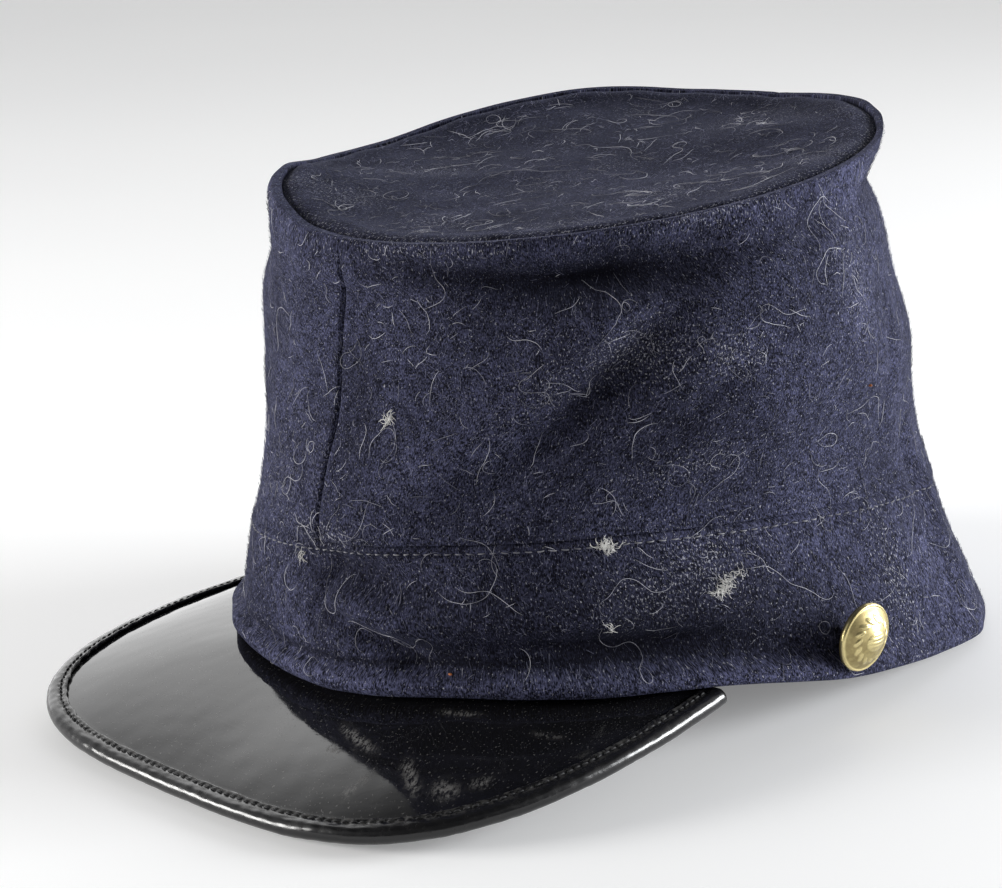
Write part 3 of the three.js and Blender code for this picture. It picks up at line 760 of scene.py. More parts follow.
def binding_material(grain_tree, colours):
    """Waxed black leather, worn paler on its flange."""
    _, g, shader = new_material("waxed_leather", IOR=1.5)
    at = g.add("ShaderNodeUVMap", uv_map="UVMap")
    wear = g.add("ShaderNodeAttribute", output="Fac", attribute_name="wear")
    grain = g.placed(grain_tree, {"Vector": at, "Crease Scale": 900.0})
    patchy = g.noise(g.stretch(at, (420.0, 420.0, 1.0)), 1.0, 3.0, 0.65)
    worn = g.math("MULTIPLY", wear, g.span(patchy, 0.42, 0.68), clamp=True)
    colour = g.mix(worn, (*colours.binding, 1.0), (*colours.binding_worn, 1.0))
    gloss = g.span(patchy, 0.3, 0.7, 0.14, 0.26)
    gloss = g.blend(worn, gloss, 0.6)
    normal = g.bumped(grain.outputs["Height"], 0.25, 0.0001)
    g.feed(shader, Base_Color=colour, Roughness=gloss, Normal=normal)


def brass_material(colours):
    """Gilt brass, with dirt in the recesses of the stamped face."""
    _, g, shader = new_material("gilt_brass", Metallic=1.0)
    at = g.add("ShaderNodeTexCoord", output="Object")
    depth = g.add("ShaderNodeAttribute", output="Fac", attribute_name="recess")
    patches = g.noise(at, 420.0, 3.0, 0.6)
    dirt = g.math("MULTIPLY", depth, g.span(patches, 0.25, 0.6, 0.5, 1.0), clamp=True)
    bright = g.mix(g.span(patches, 0.45, 0.75), (*colours.brass, 1.0), (*colours.brass_dull, 1.0))
    colour = g.mix(dirt, bright, (*colours.brass_dirt, 1.0))
    gloss = g.blend(dirt, g.span(patches, 0.3, 0.7, 0.22, 0.38), 0.6)
    scratch = g.noise(g.stretch(at, (9000.0, 900.0, 2500.0)), 1.0, 2.0, 0.6)
    normal = g.bumped(scratch, 0.12, 0.0001)
    g.feed(shader, Base_Color=colour, Roughness=gloss, Normal=normal)


def fibre_material(name, pale, dull, roughness):
    """A thread's or hair's finish, whose tone changes from strand to strand."""
    _, g, shader = new_material(name, Roughness=roughness, Specular_IOR_Level=0.3)
    at = g.add("ShaderNodeTexCoord", output="Object")
    tone = g.span(g.noise(at, 90.0, 2.0, 0.6), 0.38, 0.66)
    twist = g.noise(g.stretch(at, (5200.0, 5200.0, 5200.0)), 1.0, 1.0)
    normal = g.bumped(twist, 0.3, 0.00005)
    g.feed(shader, Base_Color=g.mix(tone, (*dull, 1.0), (*pale, 1.0)), Normal=normal)


def materials():
    """Every material by name, made once from the colour settings."""
    if "navy_wool" in bpy.data.materials:
        return bpy.data.materials
    colours = bpy.context.scene.kepi_colours
    felt_tree, grain_tree = felt_group(), grain_group()
    wool_material(felt_tree, colours)
    peak_material(grain_tree, colours)
    binding_material(grain_tree, colours)
    brass_material(colours)
    fibre_material("pale_thread", colours.thread, THREAD_DULL, 0.7)
    fibre_material("dark_thread", DARK_THREAD, DARK_THREAD_DULL, 0.6)
    fibre_material("stray_hair", colours.hair, HAIR_DULL, 0.45)
    fibre_material("white_lint", LINT, LINT_DULL, 0.8)
    fibre_material("wool_fibre", NAP, NAP_DULL, 0.8)
    fibre_material("rust_speck", RUST, RUST_DULL, 0.7)
    return bpy.data.materials


# ------------------------------------------------------------------ cloth pieces
def edge_round(share, steps=7):
    """A rounded edge of the wool from its inner to its outer face, as rows of a section."""
    angles = np.linspace(math.pi, 0, steps)[1:-1]
    sign = 1 if share == 0 else -1
    offset = sign * (EDGE - EDGE * np.sin(angles))
    return [(share, o, WOOL / 2 - WOOL / 2 * math.cos(a), 0.0) for o, a in zip(offset, angles)]


def cloth_dust(bearing, height):
    """How dusty the wool is, from 0 to 1."""
    total = np.zeros_like(bearing)
    for row in DUST:
        total = np.maximum(total, row["amount"] * patch(row, bearing, height))
    return total


def painted_cloth_shade_and_light(bearing, height):
    """Painted shade and light on the wool: 0 for none, towards 1 as painted shade in creases and hollows,
    below 0 as painted light.
    """
    light = np.ones_like(bearing)
    for row in PAINTED_SHADE_AND_LIGHT:
        light *= 1 - row["amount"] * patch(row, bearing, height)
    return 1 - light


def cloth_masks(bearing, height):
    """The wool's masks on the wall: its dust, and its painted shade and painted light."""
    return {"dust": cloth_dust(bearing, height), "shade": painted_cloth_shade_and_light(bearing, height)}


def section_at(loop, y):
    """The rows of a closed section, at y from 0 to 1 round it."""
    table = np.array(loop, float)
    at = y * (len(table) - 1)
    return [np.interp(at, np.arange(len(table)), table[:, k]) for k in range(table.shape[1])]


def body_section():
    """Section of the body's wool: share of its height, offset in mm, depth and drop in mm."""
    shares = np.concatenate([np.linspace(0, 0.9, 92), np.linspace(0.9, 1, 24)[1:]])
    outer = [(s, EDGE * (1 - s), 0.0, 0.0) for s in shares]
    tuck = [(1.0, 0.0, 0.1, 0.7), (1.0, 0.0, 0.2, 1.4)]
    inner = [(s, EDGE * (1 - s), WOOL, 0.0) for s in np.linspace(1 - ROLL_SHARE / 2, 0, 34)]
    return [*outer, *tuck, *inner, *edge_round(0), outer[0]]


def make_body_half(side, columns):
    """Half of the body, whose edges turn in at the seams and whose top rolls in to the crown."""
    loop = body_section()
    seam = SEW_GAP / 2 / MM_PER_DEGREE
    start, end = (seam, 180 - seam) if side > 0 else (seam - 180, -seam)

    def where(x, y):
        x = np.interp(x, NEAR_SEAM_COLUMNS, NEAR_SEAM_PLACES)
        share, offset, under, drop = section_at(loop, y)
        bearing = start + (end - start) * x
        bottom = band_top(bearing) + SEW_GAP / 2
        slant = JOINT_SLANT * (1 - share) * under / WOOL
        height = bottom + (WALL_TOP - bottom) * share + offset + slant
        return bearing, height, under, drop

    def place(x, y):
        bearing, height, under, drop = where(x, y)
        to_seam = np.minimum(bearing - start, end - bearing) * MM_PER_DEGREE
        outer = np.clip(1 - under / WOOL, 0, 1)
        below_top = WALL_TOP - height
        pucker = np.sin(np.radians(bearing * 24 + 40)) * bump(below_top - 5, 4)
        groove = 0.7 * bump(to_seam, 0.5) * smoothstep(below_top, 4, 12)
        relief = 0.16 * pucker - groove + 0.15 * bump(to_seam - 2.6, 1.6)
        points = wall_points(bearing, height, under - relief * outer)
        points[:, 2] += outer * 0.45 * bump(below_top - 3.2, 2.6) - drop
        return seated(points), np.stack([bearing * MM_PER_DEGREE, height], 1) * MM

    def masks(x, y):
        bearing, height, _, _ = where(x, y)
        return cloth_masks(bearing, height)

    return formed_grid(columns, len(loop) - 1, place, masks)


def band_relief(bearing, height):
    """The hem's roll, the stitched edge and the dimples of its stitches."""
    top = band_top(bearing) - SEW_GAP / 2
    hemmed = 0.35 + 0.65 * smoothstep(92 - np.abs(bearing), 0, 14)
    hem = 1.9 * np.sin(math.pi * np.clip(height / HEM_HEIGHT, 0, 1)) ** 0.8
    groove = 0.9 * bump(height - HEM_HEIGHT - 0.8, 1.2)
    below_edge = top - height
    bead = 0.35 * bump(below_edge - 0.8, 0.9) - 0.30 * bump(below_edge - 2.2, 0.7)
    holes = 0.5 + 0.5 * np.cos(math.tau * bearing / STITCH_STEP)
    dimples = 0.22 * holes * bump(below_edge - STITCH_BELOW_EDGE, 0.55)
    return hemmed * (hem - groove) + bead - dimples


def make_band(columns):
    """The band, joined at the centre back."""
    seam = SEW_GAP / 2 / MM_PER_DEGREE
    start, end = seam - 180, 180 - seam
    shares = np.concatenate([np.linspace(0, 0.16, 12), np.linspace(0.16, 0.9, 26)[1:]])
    shares = np.concatenate([shares, np.linspace(0.9, 1, 12)[1:]])
    outer = [(s, EDGE * (1 - 2 * s), 0.0, 0.0) for s in shares]
    inner = [(s, EDGE * (1 - 2 * s), WOOL, 0.0) for s in np.linspace(1, 0, 14)]
    top_edge = edge_round(1)[::-1]
    loop = [*outer, *top_edge, *inner, *edge_round(0), outer[0]]

    def where(x, y):
        x = np.interp(x, BAND_SEAM_COLUMNS, BAND_SEAM_PLACES)
        share, offset, under, _ = section_at(loop, y)
        bearing = start + (end - start) * x
        slant = JOINT_SLANT * share * under / WOOL
        height = share * (band_top(bearing) - SEW_GAP / 2) + offset + slant
        return bearing, height, under

    def place(x, y):
        bearing, height, under = where(x, y)
        outer_share = np.clip(1 - under / WOOL, 0, 1)
        to_seam = np.minimum(bearing - start, end - bearing) * MM_PER_DEGREE
        relief = band_relief(bearing, height) - 0.9 * bump(to_seam, 0.8)
        points = wall_points(bearing, np.maximum(height, 0), under - relief * outer_share)
        points[:, 2] += np.minimum(height, 0)
        return seated(points), np.stack([bearing * MM_PER_DEGREE, height], 1) * MM

    def masks(x, y):
        bearing, height, _ = where(x, y)
        return cloth_masks(bearing, height)

    return formed_grid(columns, len(loop) - 1, place, masks)


def make_crown(columns):
    """The crown, whose edge turns down into the seam inside the roll."""
    shares = np.concatenate([np.linspace(0, 0.88, 44), np.linspace(0.88, 1, 22)[1:]])
    top = [(s, 0.0) for s in shares]
    bottom = [(s, -WOOL) for s in np.linspace(CROWN_BEVEL, 0, 18)]
    loop = [*top, (1.0, -0.5), *bottom]

    def where(x, y):
        share, depth = section_at(loop, y)
        return x * 360 - 180, share, depth

    def place(x, y):
        bearing, share, depth = where(x, y)
        upper = np.clip(1 + depth / WOOL, 0, 1)
        points = crown_points(bearing, share, depth + upper * crown_relief(bearing, share))
        return seated(points), points[:, :2] * MM + CROWN_MAP_OFFSET

    def masks(x, y):
        bearing, share, _ = where(x, y)
        near_side = smoothstep(np.cos(np.radians(bearing - 60)), -0.2, 0.4)
        edge = 0.8 * bump((1 - share) * CROWN_RADIUS - 1.5, 2.5) * near_side
        turn = np.radians(bearing)
        u, v = CROWN_RADIUS * share * np.sin(turn), CROWN_RADIUS * share * np.cos(turn)
        drifts = smoothstep(ripple(u, v, seed=31, wavelength=40), 0.2, 1.4)
        # Painted shade: the whole crown darker, and darker still towards bearing -135.
        shade = 0.45 + 0.2 * smoothstep(-u - v, -20, 50)
        return {"dust": np.maximum(edge, 0.8 * drifts), "shade": shade}

    return formed_grid(columns, len(loop) - 1, place, masks)


# ------------------------------------------------------------------ peak and binding
def peak_inner(along):
    """The peak's inner edge, tucked under the band."""
    turn = PEAK_CORNER_BEARING * (2 * along - 1)
    under = np.full_like(along, PEAK_UNDERLAP)
    point = wall_points(turn + PEAK_TURN, np.zeros_like(along), under)
    point[:, 2] -= SEW_GAP
    return point


def peak_outer(share):
    """The peak's outer edge, as a full rounded outline."""
    turn = np.radians(180 * share - 90)
    power = 2 / PEAK_FULLNESS
    forward = np.abs(np.cos(turn)) ** power
    sideways = np.abs(np.sin(turn)) ** power * np.sign(np.sin(turn))
    tuck = PEAK_TUCK * (1 - forward) ** PEAK_TUCK_POWER
    x = PEAK_ASIDE + (PEAK_HALF_WIDTH - tuck) * sideways
    y = PEAK_CORNER_Y - PEAK_REACH * forward
    corner = rise_at(RIM_LINE, np.full_like(share, PEAK_CORNER_BEARING)) - PEAK_CORNER_DROP
    lift = PEAK_SIDE_LIFT * sideways * sideways * forward
    z = corner + lift + (PEAK_LIST * x - PEAK_FALL * PEAK_REACH) * forward
    return np.stack([x, y, z], 1)


def outline_share(along):
    """The outline's own parameter at an even share of its length."""
    steps = np.linspace(0, 1, 4001)
    outline = peak_outer(steps)
    run = np.concatenate([[0], np.cumsum(np.linalg.norm(np.diff(outline, axis=0), axis=1))])
    return np.interp(along * run[-1], run, steps)


def unit(vectors):
    """Each row scaled to length 1."""
    return vectors / np.linalg.norm(vectors, axis=1, keepdims=True)


def edge_frame(along):
    """The outer edge's place, with the peak's own outward and up directions there."""
    edge, inner = peak_outer(outline_share(along)), peak_inner(along)
    ahead = peak_outer(outline_share(np.minimum(1, along + 0.01)))
    behind = peak_outer(outline_share(np.maximum(0, along - 0.01)))
    run = unit(ahead - behind)
    out = unit(np.stack([-run[:, 1], run[:, 0], np.zeros(len(run))], 1))
    inward = out[:, 0] * edge[:, 0] + out[:, 1] * (edge[:, 1] - PEAK_CORNER_Y) < 0
    out[inward] *= -1
    width = np.hypot(edge[:, 0] - inner[:, 0], edge[:, 1] - inner[:, 1])
    out[:, 2] = (edge[:, 2] - inner[:, 2]) / np.maximum(width, PEAK_WIDTH / 2)
    out = unit(out - run * (out * run).sum(1, keepdims=True))
    up = unit(np.cross(run, out))
    up[up[:, 2] < 0] *= -1
    return edge, out, up, inner


def peak_points(along, across, depth, channel=0.0):
    """Points of the peak's plate: across is 0 under the band and 1 at the binding's inner edge."""
    edge, out, up, inner = edge_frame(along)
    bound = edge - out * (BINDING_WIDTH + SEW_GAP)
    point = inner + (bound - inner) * across[:, None]
    width = np.hypot(bound[:, 0] - inner[:, 0], bound[:, 1] - inner[:, 1]) / PEAK_WIDTH
    point[:, 2] += 4 * PEAK_ARCH * width * across * (1 - across)
    lean = unit(np.array([0.0, 0.0, 1.0]) * (1 - across[:, None]) + up * across[:, None])
    point += lean * depth[:, None]
    sunk = edge - out * (BINDING_LEATHER + BINDING_GAP) + up * depth[:, None]
    return point + (sunk - point) * np.reshape(channel, (-1, 1))


def peak_relief(along, across):
    """The leather's slight waves, fading in from under the band."""
    u, v = along * OUTLINE_RUN, across * PEAK_WIDTH
    waves = 0.04 * ripple(u, v, seed=41, wavelength=34) + 0.008 * ripple(u, v, seed=42, wavelength=9)
    return waves * smoothstep(across, 0, 0.2)


def make_peak(columns):
    """The patent leather plate, from under the band into the binding's channel."""
    top = [(a, 0.0, 0.0) for a in np.linspace(0, 1, 44)]
    edge = [(1.0, 0.0, 0.5), (1.0, 0.0, 1.0), (1.0, -PEAK_LEATHER, 1.0), (1.0, -PEAK_LEATHER, 0.5)]
    bottom = [(a, -PEAK_LEATHER, 0.0) for a in np.linspace(1, 0, 22)]
    loop = [*top, *edge, *bottom, top[0]]

    def place(x, y):
        across, depth, channel = section_at(loop, y)
        upper = np.clip(1 + depth / PEAK_LEATHER, 0, 1) * (1 - channel)
        points = peak_points(x, across, depth + upper * peak_relief(x, across), channel)
        return seated(points), np.stack([x * OUTLINE_RUN, across * PEAK_WIDTH], 1) * MM

    def masks(x, y):
        across, depth, _ = section_at(loop, y)
        total = np.zeros_like(x)
        for row in SCUFFS:
            along_mm = (x - row["along"]) * OUTLINE_RUN
            up = (across - row["across"]) * PEAK_WIDTH
            c, s = lean_of(row)
            a, o = (along_mm * c + up * s) / row["length"], (up * c - along_mm * s) / row["width"]
            total = np.maximum(total, row["strength"] * np.exp(-(a**4) - o * o))
        return {"scuff": total * (depth > -0.5)}

    return formed_grid(columns, len(loop) - 1, place, masks)


def binding_section():
    """The binding's rounded U, as x outward from the edge and y up from the leather's top."""
    top = BINDING_GAP + BINDING_LEATHER
    middle = -PEAK_LEATHER / 2
    nose = PEAK_LEATHER / 2 + top
    hollow = nose - BINDING_LEATHER
    loop = [(x, top) for x in np.linspace(-BINDING_WIDTH + 0.25, -nose, 14)]
    for angle in np.linspace(90, -90, 15)[1:-1]:
        a = math.radians(angle)
        loop.append((-nose + nose * math.cos(a), middle + nose * math.sin(a)))
    loop += [(x, middle - nose) for x in np.linspace(-nose, -BINDING_WIDTH + 0.25, 8)]
    loop += [(-BINDING_WIDTH, middle - nose + 0.25), (-BINDING_WIDTH, middle - hollow)]
    for angle in np.linspace(-90, 90, 9):
        a = math.radians(angle)
        loop.append((-nose + hollow * math.cos(a), middle + hollow * math.sin(a)))
    loop += [(-BINDING_WIDTH, middle + hollow), (-BINDING_WIDTH, top - 0.25), loop[0]]
    return loop


def make_binding(columns):
    """The leather strip folded round the peak's edge."""
    loop = binding_section()
    top = BINDING_GAP + BINDING_LEATHER

    def place(x, y):
        out_mm, up_mm = section_at(loop, y)
        edge, out, up, _ = edge_frame(x)
        skin = (up_mm > top - 0.3) | (out_mm > -1.2)
        along = x * OUTLINE_RUN
        holes = 0.5 + 0.5 * np.cos(math.tau * along / BINDING_STITCH_STEP)
        line = bump(out_mm + BINDING_STITCH_IN, 0.6)
        uneven = 0.06 * ripple(along, out_mm * 3, seed=51, wavelength=12)
        uneven += 0.03 * ripple(along, out_mm * 3, seed=52, wavelength=4)
        relief = skin * (uneven - (0.12 + 0.12 * holes) * line)
        at_edge = smoothstep(-out_mm, BINDING_WIDTH - 0.6, BINDING_WIDTH)
        fray = 0.18 * ripple(along, out_mm, seed=53, wavelength=5) * at_edge
        points = edge + out * (out_mm + fray)[:, None] + up * (up_mm + relief)[:, None]
        return seated(points), np.stack([along, y * 20], 1) * MM

    def masks(x, y):
        out_mm, up_mm = section_at(loop, y)
        flange = smoothstep(-out_mm, 2.2, 3.6) * (up_mm > 0)
        return {"wear": np.clip(flange + 0.10, 0, 1)}

    return formed_grid(columns, len(loop) - 1, place, masks)


# ------------------------------------------------------------------ buttons
def button_relief(radius, turn):
    """A plain ring of leaves round a ribbed oval boss, as a height from 0 to 1."""
    x, y = radius * np.cos(turn), radius * np.sin(turn)
    boss = np.clip(1 - (x / 2.3) ** 2 - (y / 3.0) ** 2, 0, 1) ** 0.5
    height = boss * (0.85 + 0.15 * np.cos(x * 7.0))
    for k in range(LEAVES):
        at = math.tau * k / LEAVES
        dx, dy = x - 4.9 * math.cos(at), y - 4.9 * math.sin(at)
        lean = at + 0.9
        along = dx * math.cos(lean) + dy * math.sin(lean)
        over = dy * math.cos(lean) - dx * math.sin(lean)
        leaf = np.clip(1 - (along / 1.3) ** 2 - (over / 0.55) ** 2, 0, 1) ** 0.6
        height = np.maximum(height, 0.8 * leaf * (1 - 0.4 * bump(over, 0.12)))
    return height


def button_profile():
    """Points of the button's outline from the middle of its back to the top of its dome."""
    radius = BUTTON_DIAMETER / 2
    points = [(r, 0.0) for r in np.linspace(0, radius - 0.4, 8)]
    for angle in np.linspace(-90, 90, 11):
        a = math.radians(angle)
        reach = radius - 0.4 + 0.4 * math.cos(a)
        points.append((reach, BUTTON_EDGE / 2 + BUTTON_EDGE / 2 * math.sin(a)))
    points.append((radius - 0.62, BUTTON_EDGE - 0.18))
    for share in np.linspace(1, 0, 74)[1:]:
        reach = (radius - 0.75) * share
        points.append((reach, BUTTON_EDGE - 0.1 + BUTTON_DOME * (1 - share * share)))
    return points


def button_mesh(side):
    """The button's face and its wire loop as one mesh, seated at its place on the band."""
    bm = make_button_face()
    loop = make_shank()
    loop_mesh = mesh_of("shank_part", loop)
    bm.from_mesh(loop_mesh)
    bpy.data.meshes.remove(loop_mesh)
    one = np.array([side * BUTTON_BEARING]), np.array([BUTTON_HEIGHT]), np.array([-SEW_GAP])
    foot = Vector(wall_points(*one)[0])
    faces = Vector((side * BUTTON_FACES.x, BUTTON_FACES.y, BUTTON_FACES.z))
    back = foot + faces * (2 * SHANK_LOOP + SHANK_WIRE)
    turn = Vector((0, 0, 1)).rotation_difference(faces).to_matrix()
    for vert in bm.verts:
        vert.co = turn @ vert.co + back
    spots = seated(np.array([vert.co for vert in bm.verts]))
    for vert, spot in zip(bm.verts, spots):
        vert.co = spot
    for face in bm.faces:
        face.smooth = True
    bmesh.ops.recalc_face_normals(bm, faces=bm.faces)
    return mesh_of("button", bm)


def spun(bm, verts, edges, axis, steps):
    """Spins an outline right round, and closes it."""
    bmesh.ops.spin(
        bm, geom=[*verts, *edges], axis=axis, cent=(0, 0, 0), steps=steps, angle=math.tau, use_merge=True
    )
    bmesh.ops.remove_doubles(bm, verts=bm.verts, dist=SPUN_WELD)


def make_button_face():
    """The button's disc and dome, with its recesses marked."""
    bm = bmesh.new()
    profile = [bm.verts.new((r, 0, z)) for r, z in button_profile()]
    wire = [bm.edges.new(pair) for pair in zip(profile, profile[1:])]
    spun(bm, profile, wire, (0, 0, 1), 192)
    recess = bm.verts.layers.float.new("recess")
    spots = np.array([vert.co for vert in bm.verts])
    radius, turn = np.hypot(spots[:, 0], spots[:, 1]), np.arctan2(spots[:, 1], spots[:, 0])
    on_dome = (spots[:, 2] > BUTTON_EDGE - 0.3) & (radius < BUTTON_DIAMETER / 2 - 0.7)
    for vert, raised, domed, reach in zip(bm.verts, button_relief(radius, turn), on_dome, radius):
        if domed:
            vert.co.z += 0.28 * raised
            vert[recess] = 0.55 * max(0.0, 1 - 2.2 * raised) * min(1.0, 8.0 - reach)
        elif vert.co.z < BUTTON_EDGE / 2:
            vert[recess] = 0.7
    return bm


def make_shank():
    """The wire loop at the button's back."""
    bm = bmesh.new()
    loop = bmesh.ops.create_circle(bm, segments=12, radius=SHANK_WIRE)["verts"]
    upright = Matrix.Rotation(math.pi / 2, 3, "X")
    bmesh.ops.rotate(bm, verts=loop, cent=(0, 0, 0), matrix=upright)
    bmesh.ops.translate(bm, verts=loop, vec=(SHANK_LOOP, 0, 0))
    spun(bm, loop, list(bm.edges), (0, 1, 0), 40)
    bmesh.ops.translate(bm, verts=bm.verts, vec=(0, 0, -SHANK_LOOP))
    bm.verts.layers.float.new("recess")
    return bm


# ------------------------------------------------------------------ threads, hairs and lint
def band_stitch_paths(rng):
    """The topstitch round the band's upper edge."""
    paths = []
    half = 0.85 / MM_PER_DEGREE
    count = int(360 / STITCH_STEP)
    for k in range(-(count // 2) + 1, count // 2):
        centre = (k + 0.5) * STITCH_STEP
        lean = rng.uniform(-0.15, 0.15)
        along = np.linspace(-1, 1, 7)
        bearing = centre + along * half
        height = band_top(bearing) - SEW_GAP / 2 - STITCH_BELOW_EDGE + lean * along
        sunk = 0.28 * along**4 - rng.uniform(0.05, 0.16)
        points = wall_points(bearing, height, sunk - band_relief(bearing, height))
        paths.append(seated(points))
    return paths


def binding_stitch_paths(rng):
    """The stitches along the binding's inner edge."""
    paths = []
    count = int(OUTLINE_RUN / BINDING_STITCH_STEP)
    top = BINDING_GAP + BINDING_LEATHER
    for k in range(1, count - 1):
        along = ((k + 0.5) * BINDING_STITCH_STEP + np.linspace(-0.75, 0.75, 7)) / OUTLINE_RUN
        bend = np.linspace(-1, 1, 7)
        edge, out, up, _ = edge_frame(along)
        inset = -BINDING_STITCH_IN + rng.uniform(-0.08, 0.08) + bend * rng.uniform(-0.1, 0.1)
        height = top - 0.02 - 0.24 * bend**4
        paths.append(seated(edge + out * inset[:, None] + up * height[:, None]))
    return paths


def curled_route(rng, length, step, curl):
    """A curled hair's route on a flat sheet, from the origin, in mm."""
    heading, bend = rng.uniform(0, math.tau), rng.gauss(0, curl)
    spots = [(0.0, 0.0)]
    for _ in range(max(3, int(length / step))):
        bend = 0.88 * bend + rng.gauss(0, 0.45 * curl)
        heading += bend * step
        x, y = spots[-1]
        spots.append((x + step * math.cos(heading), y + step * math.sin(heading)))
    return np.array(spots)


def joined(strands):
    """Strands as whole arrays: their points, and each point's own place and lift.

    A strand is a flat route, the two numbers of the place where it starts, and its lift in mm.
    """
    counts = [len(strand[0]) for strand in strands]
    points = np.concatenate([strand[0] for strand in strands])
    places = np.repeat([strand[1] for strand in strands], counts, axis=0)
    lift = np.concatenate([np.broadcast_to(strand[2], len(strand[0])) for strand in strands])
    return points, places, lift, np.cumsum(counts)[:-1]


def on_wall(strands):
    """Paths of strands laid on the wall from their bearings and heights."""
    points, places, lift, ends = joined(strands)
    bearing = places[:, 0] + points[:, 0] / MM_PER_DEGREE
    height = np.clip(places[:, 1] + points[:, 1], 1.0, WALL_TOP - 2.0)
    on_band = height < band_top(bearing)
    relief = np.where(on_band, np.maximum(band_relief(bearing, height), 0), 0)
    return np.split(seated(wall_points(bearing, height, -lift - relief)), ends)


def on_crown(strands):
    """Paths of strands laid on the crown from places in mm from its middle."""
    points, places, lift, ends = joined(strands)
    u, v = points[:, 0] + places[:, 0], points[:, 1] + places[:, 1]
    bearing = np.degrees(np.arctan2(u, -v))
    share = np.minimum(np.hypot(u, v) / CROWN_RADIUS, 0.97)
    return np.split(seated(crown_points(bearing, share, crown_relief(bearing, share) + lift)), ends)


def crown_place(rng, reach):
    """A place on the crown, evenly scattered within reach of its middle, in mm."""
    turn, radius = rng.uniform(0, math.tau), reach * math.sqrt(rng.random())
    return radius * math.cos(turn), radius * math.sin(turn)


def hair_length(rng):
    """Most hairs are short; a few are long."""
    kind = rng.random()
    if kind < 0.66:
        return rng.uniform(1.5, 5)
    return rng.uniform(5, 11) if kind < 0.92 else rng.uniform(11, 26)


def hair_paths(rng, count):
    """Stray hairs lying over the whole cap, most of them where dust has settled."""
    on_top, around = [], []
    while len(on_top) + len(around) < count:
        route = curled_route(rng, hair_length(rng), 0.6, rng.uniform(0.12, 0.5))
        lift = 0.08 + 0.25 * np.abs(np.sin(np.linspace(0, rng.uniform(2, 7), len(route))))
        if rng.random() < 0.10:
            on_top.append((route, crown_place(rng, 62), lift))
            continue
        bearing, height = rng.uniform(-180, 180), rng.uniform(3, WALL_TOP - 3)
        dust = float(cloth_dust(np.array([bearing]), np.array([height]))[0])
        if rng.random() < 0.22 + 0.9 * dust:
            around.append((route, (bearing, height), lift))
    return [*on_crown(on_top), *on_wall(around)]


def nap_strand(rng, place, heading):
    """One short straight fibre with its tip off the cloth."""
    length = rng.uniform(0.7, 2.0)
    route = np.array([(0.0, 0.0), (length * math.sin(heading), length * math.cos(heading))])
    return route, place, np.array([0.0, rng.uniform(0.15, 0.6)])


def wall_nap_paths(rng, count, low, high):
    """Short fibres standing a little off the wall between two heights."""
    places = np.array([(rng.uniform(-180, 180), rng.uniform(low, high)) for _ in range(count)])
    strands = []
    for place, shade in zip(places, painted_cloth_shade_and_light(places[:, 0], places[:, 1])):
        # Fibres are left out in proportion to the painted shade.
        if rng.random() > 1.1 * shade:
            strands.append(nap_strand(rng, place, rng.gauss(0, 0.6)))
    return on_wall(strands)


def crown_nap_paths(rng, count):
    """Short fibres standing a little off the crown."""
    strands = []
    for _ in range(count):
        strands.append(nap_strand(rng, crown_place(rng, 66), rng.uniform(0, math.tau)))
    return on_crown(strands)


def tuft_paths(rng):
    """Knots of white fluff caught in the nap."""
    strands = []
    for tuft in TUFTS:
        c, s = lean_of(tuft)
        for _ in range(tuft["fibres"]):
            route = curled_route(rng, rng.uniform(0.8, 2.8), 0.3, rng.uniform(0.5, 1.4))
            a, o = rng.gauss(0, 0.5) * tuft["length"], rng.gauss(0, 0.5) * tuft["width"]
            route = route + np.array([a * c - o * s, a * s + o * c])
            lift = rng.uniform(0.1, 0.55) + 0.15 * np.sin(np.linspace(0, 5, len(route)))
            strands.append((route, (tuft["bearing"], tuft["height"]), lift))
    return on_wall(strands)


def speck_mesh():
    """Small crumbs caught in the nap."""
    bm = bmesh.new()
    for row in SPECKS:
        made = bmesh.ops.create_icosphere(bm, subdivisions=2, radius=SPECK_RADIUS)["verts"]
        spot = wall_points(np.array([row["bearing"]]), np.array([row["height"]]), np.array([-0.25]))
        bmesh.ops.scale(bm, verts=made, vec=(1.2, 0.8, 0.7))
        bmesh.ops.translate(bm, verts=made, vec=Vector(seated(spot)[0]))
    return mesh_of("specks", bm)


# ------------------------------------------------------------------ settings
def colour_setting(label, description, value):
    """A colour setting."""
    return FloatVectorProperty(name=label, description=description, subtype="COLOR", default=value)


class KepiColours(bpy.types.PropertyGroup):
    """Colours of the cap's cloth, leather and metal."""

    wool_dark: colour_setting("Wool, deep", "Between the fibres", (0.0035, 0.0035, 0.006))
    wool_light: colour_setting("Wool, raised", "On the fibres", (0.088, 0.092, 0.166))
    hair: colour_setting("Stray hair", "Pale hairs and flecks", (0.62, 0.62, 0.68))
    patent: colour_setting("Patent leather", "The peak", (0.006, 0.006, 0.007))
    scuff: colour_setting("Scuffs", "Rubbed marks on the peak", (0.17, 0.165, 0.16))
    binding: colour_setting("Binding", "Leather round the peak's edge", (0.008, 0.008, 0.009))
    binding_worn: colour_setting("Worn binding", "Where it is rubbed", (0.045, 0.043, 0.041))
    brass: colour_setting("Brass", "Bright parts of the buttons", (0.74, 0.63, 0.31))
    brass_dull: colour_setting("Dull brass", "Handled parts", (0.56, 0.47, 0.25))
    brass_dirt: colour_setting("Dirt", "In the stamped recesses", (0.16, 0.11, 0.04))
    thread: colour_setting("Thread", "The band's topstitch", (0.24, 0.24, 0.26))


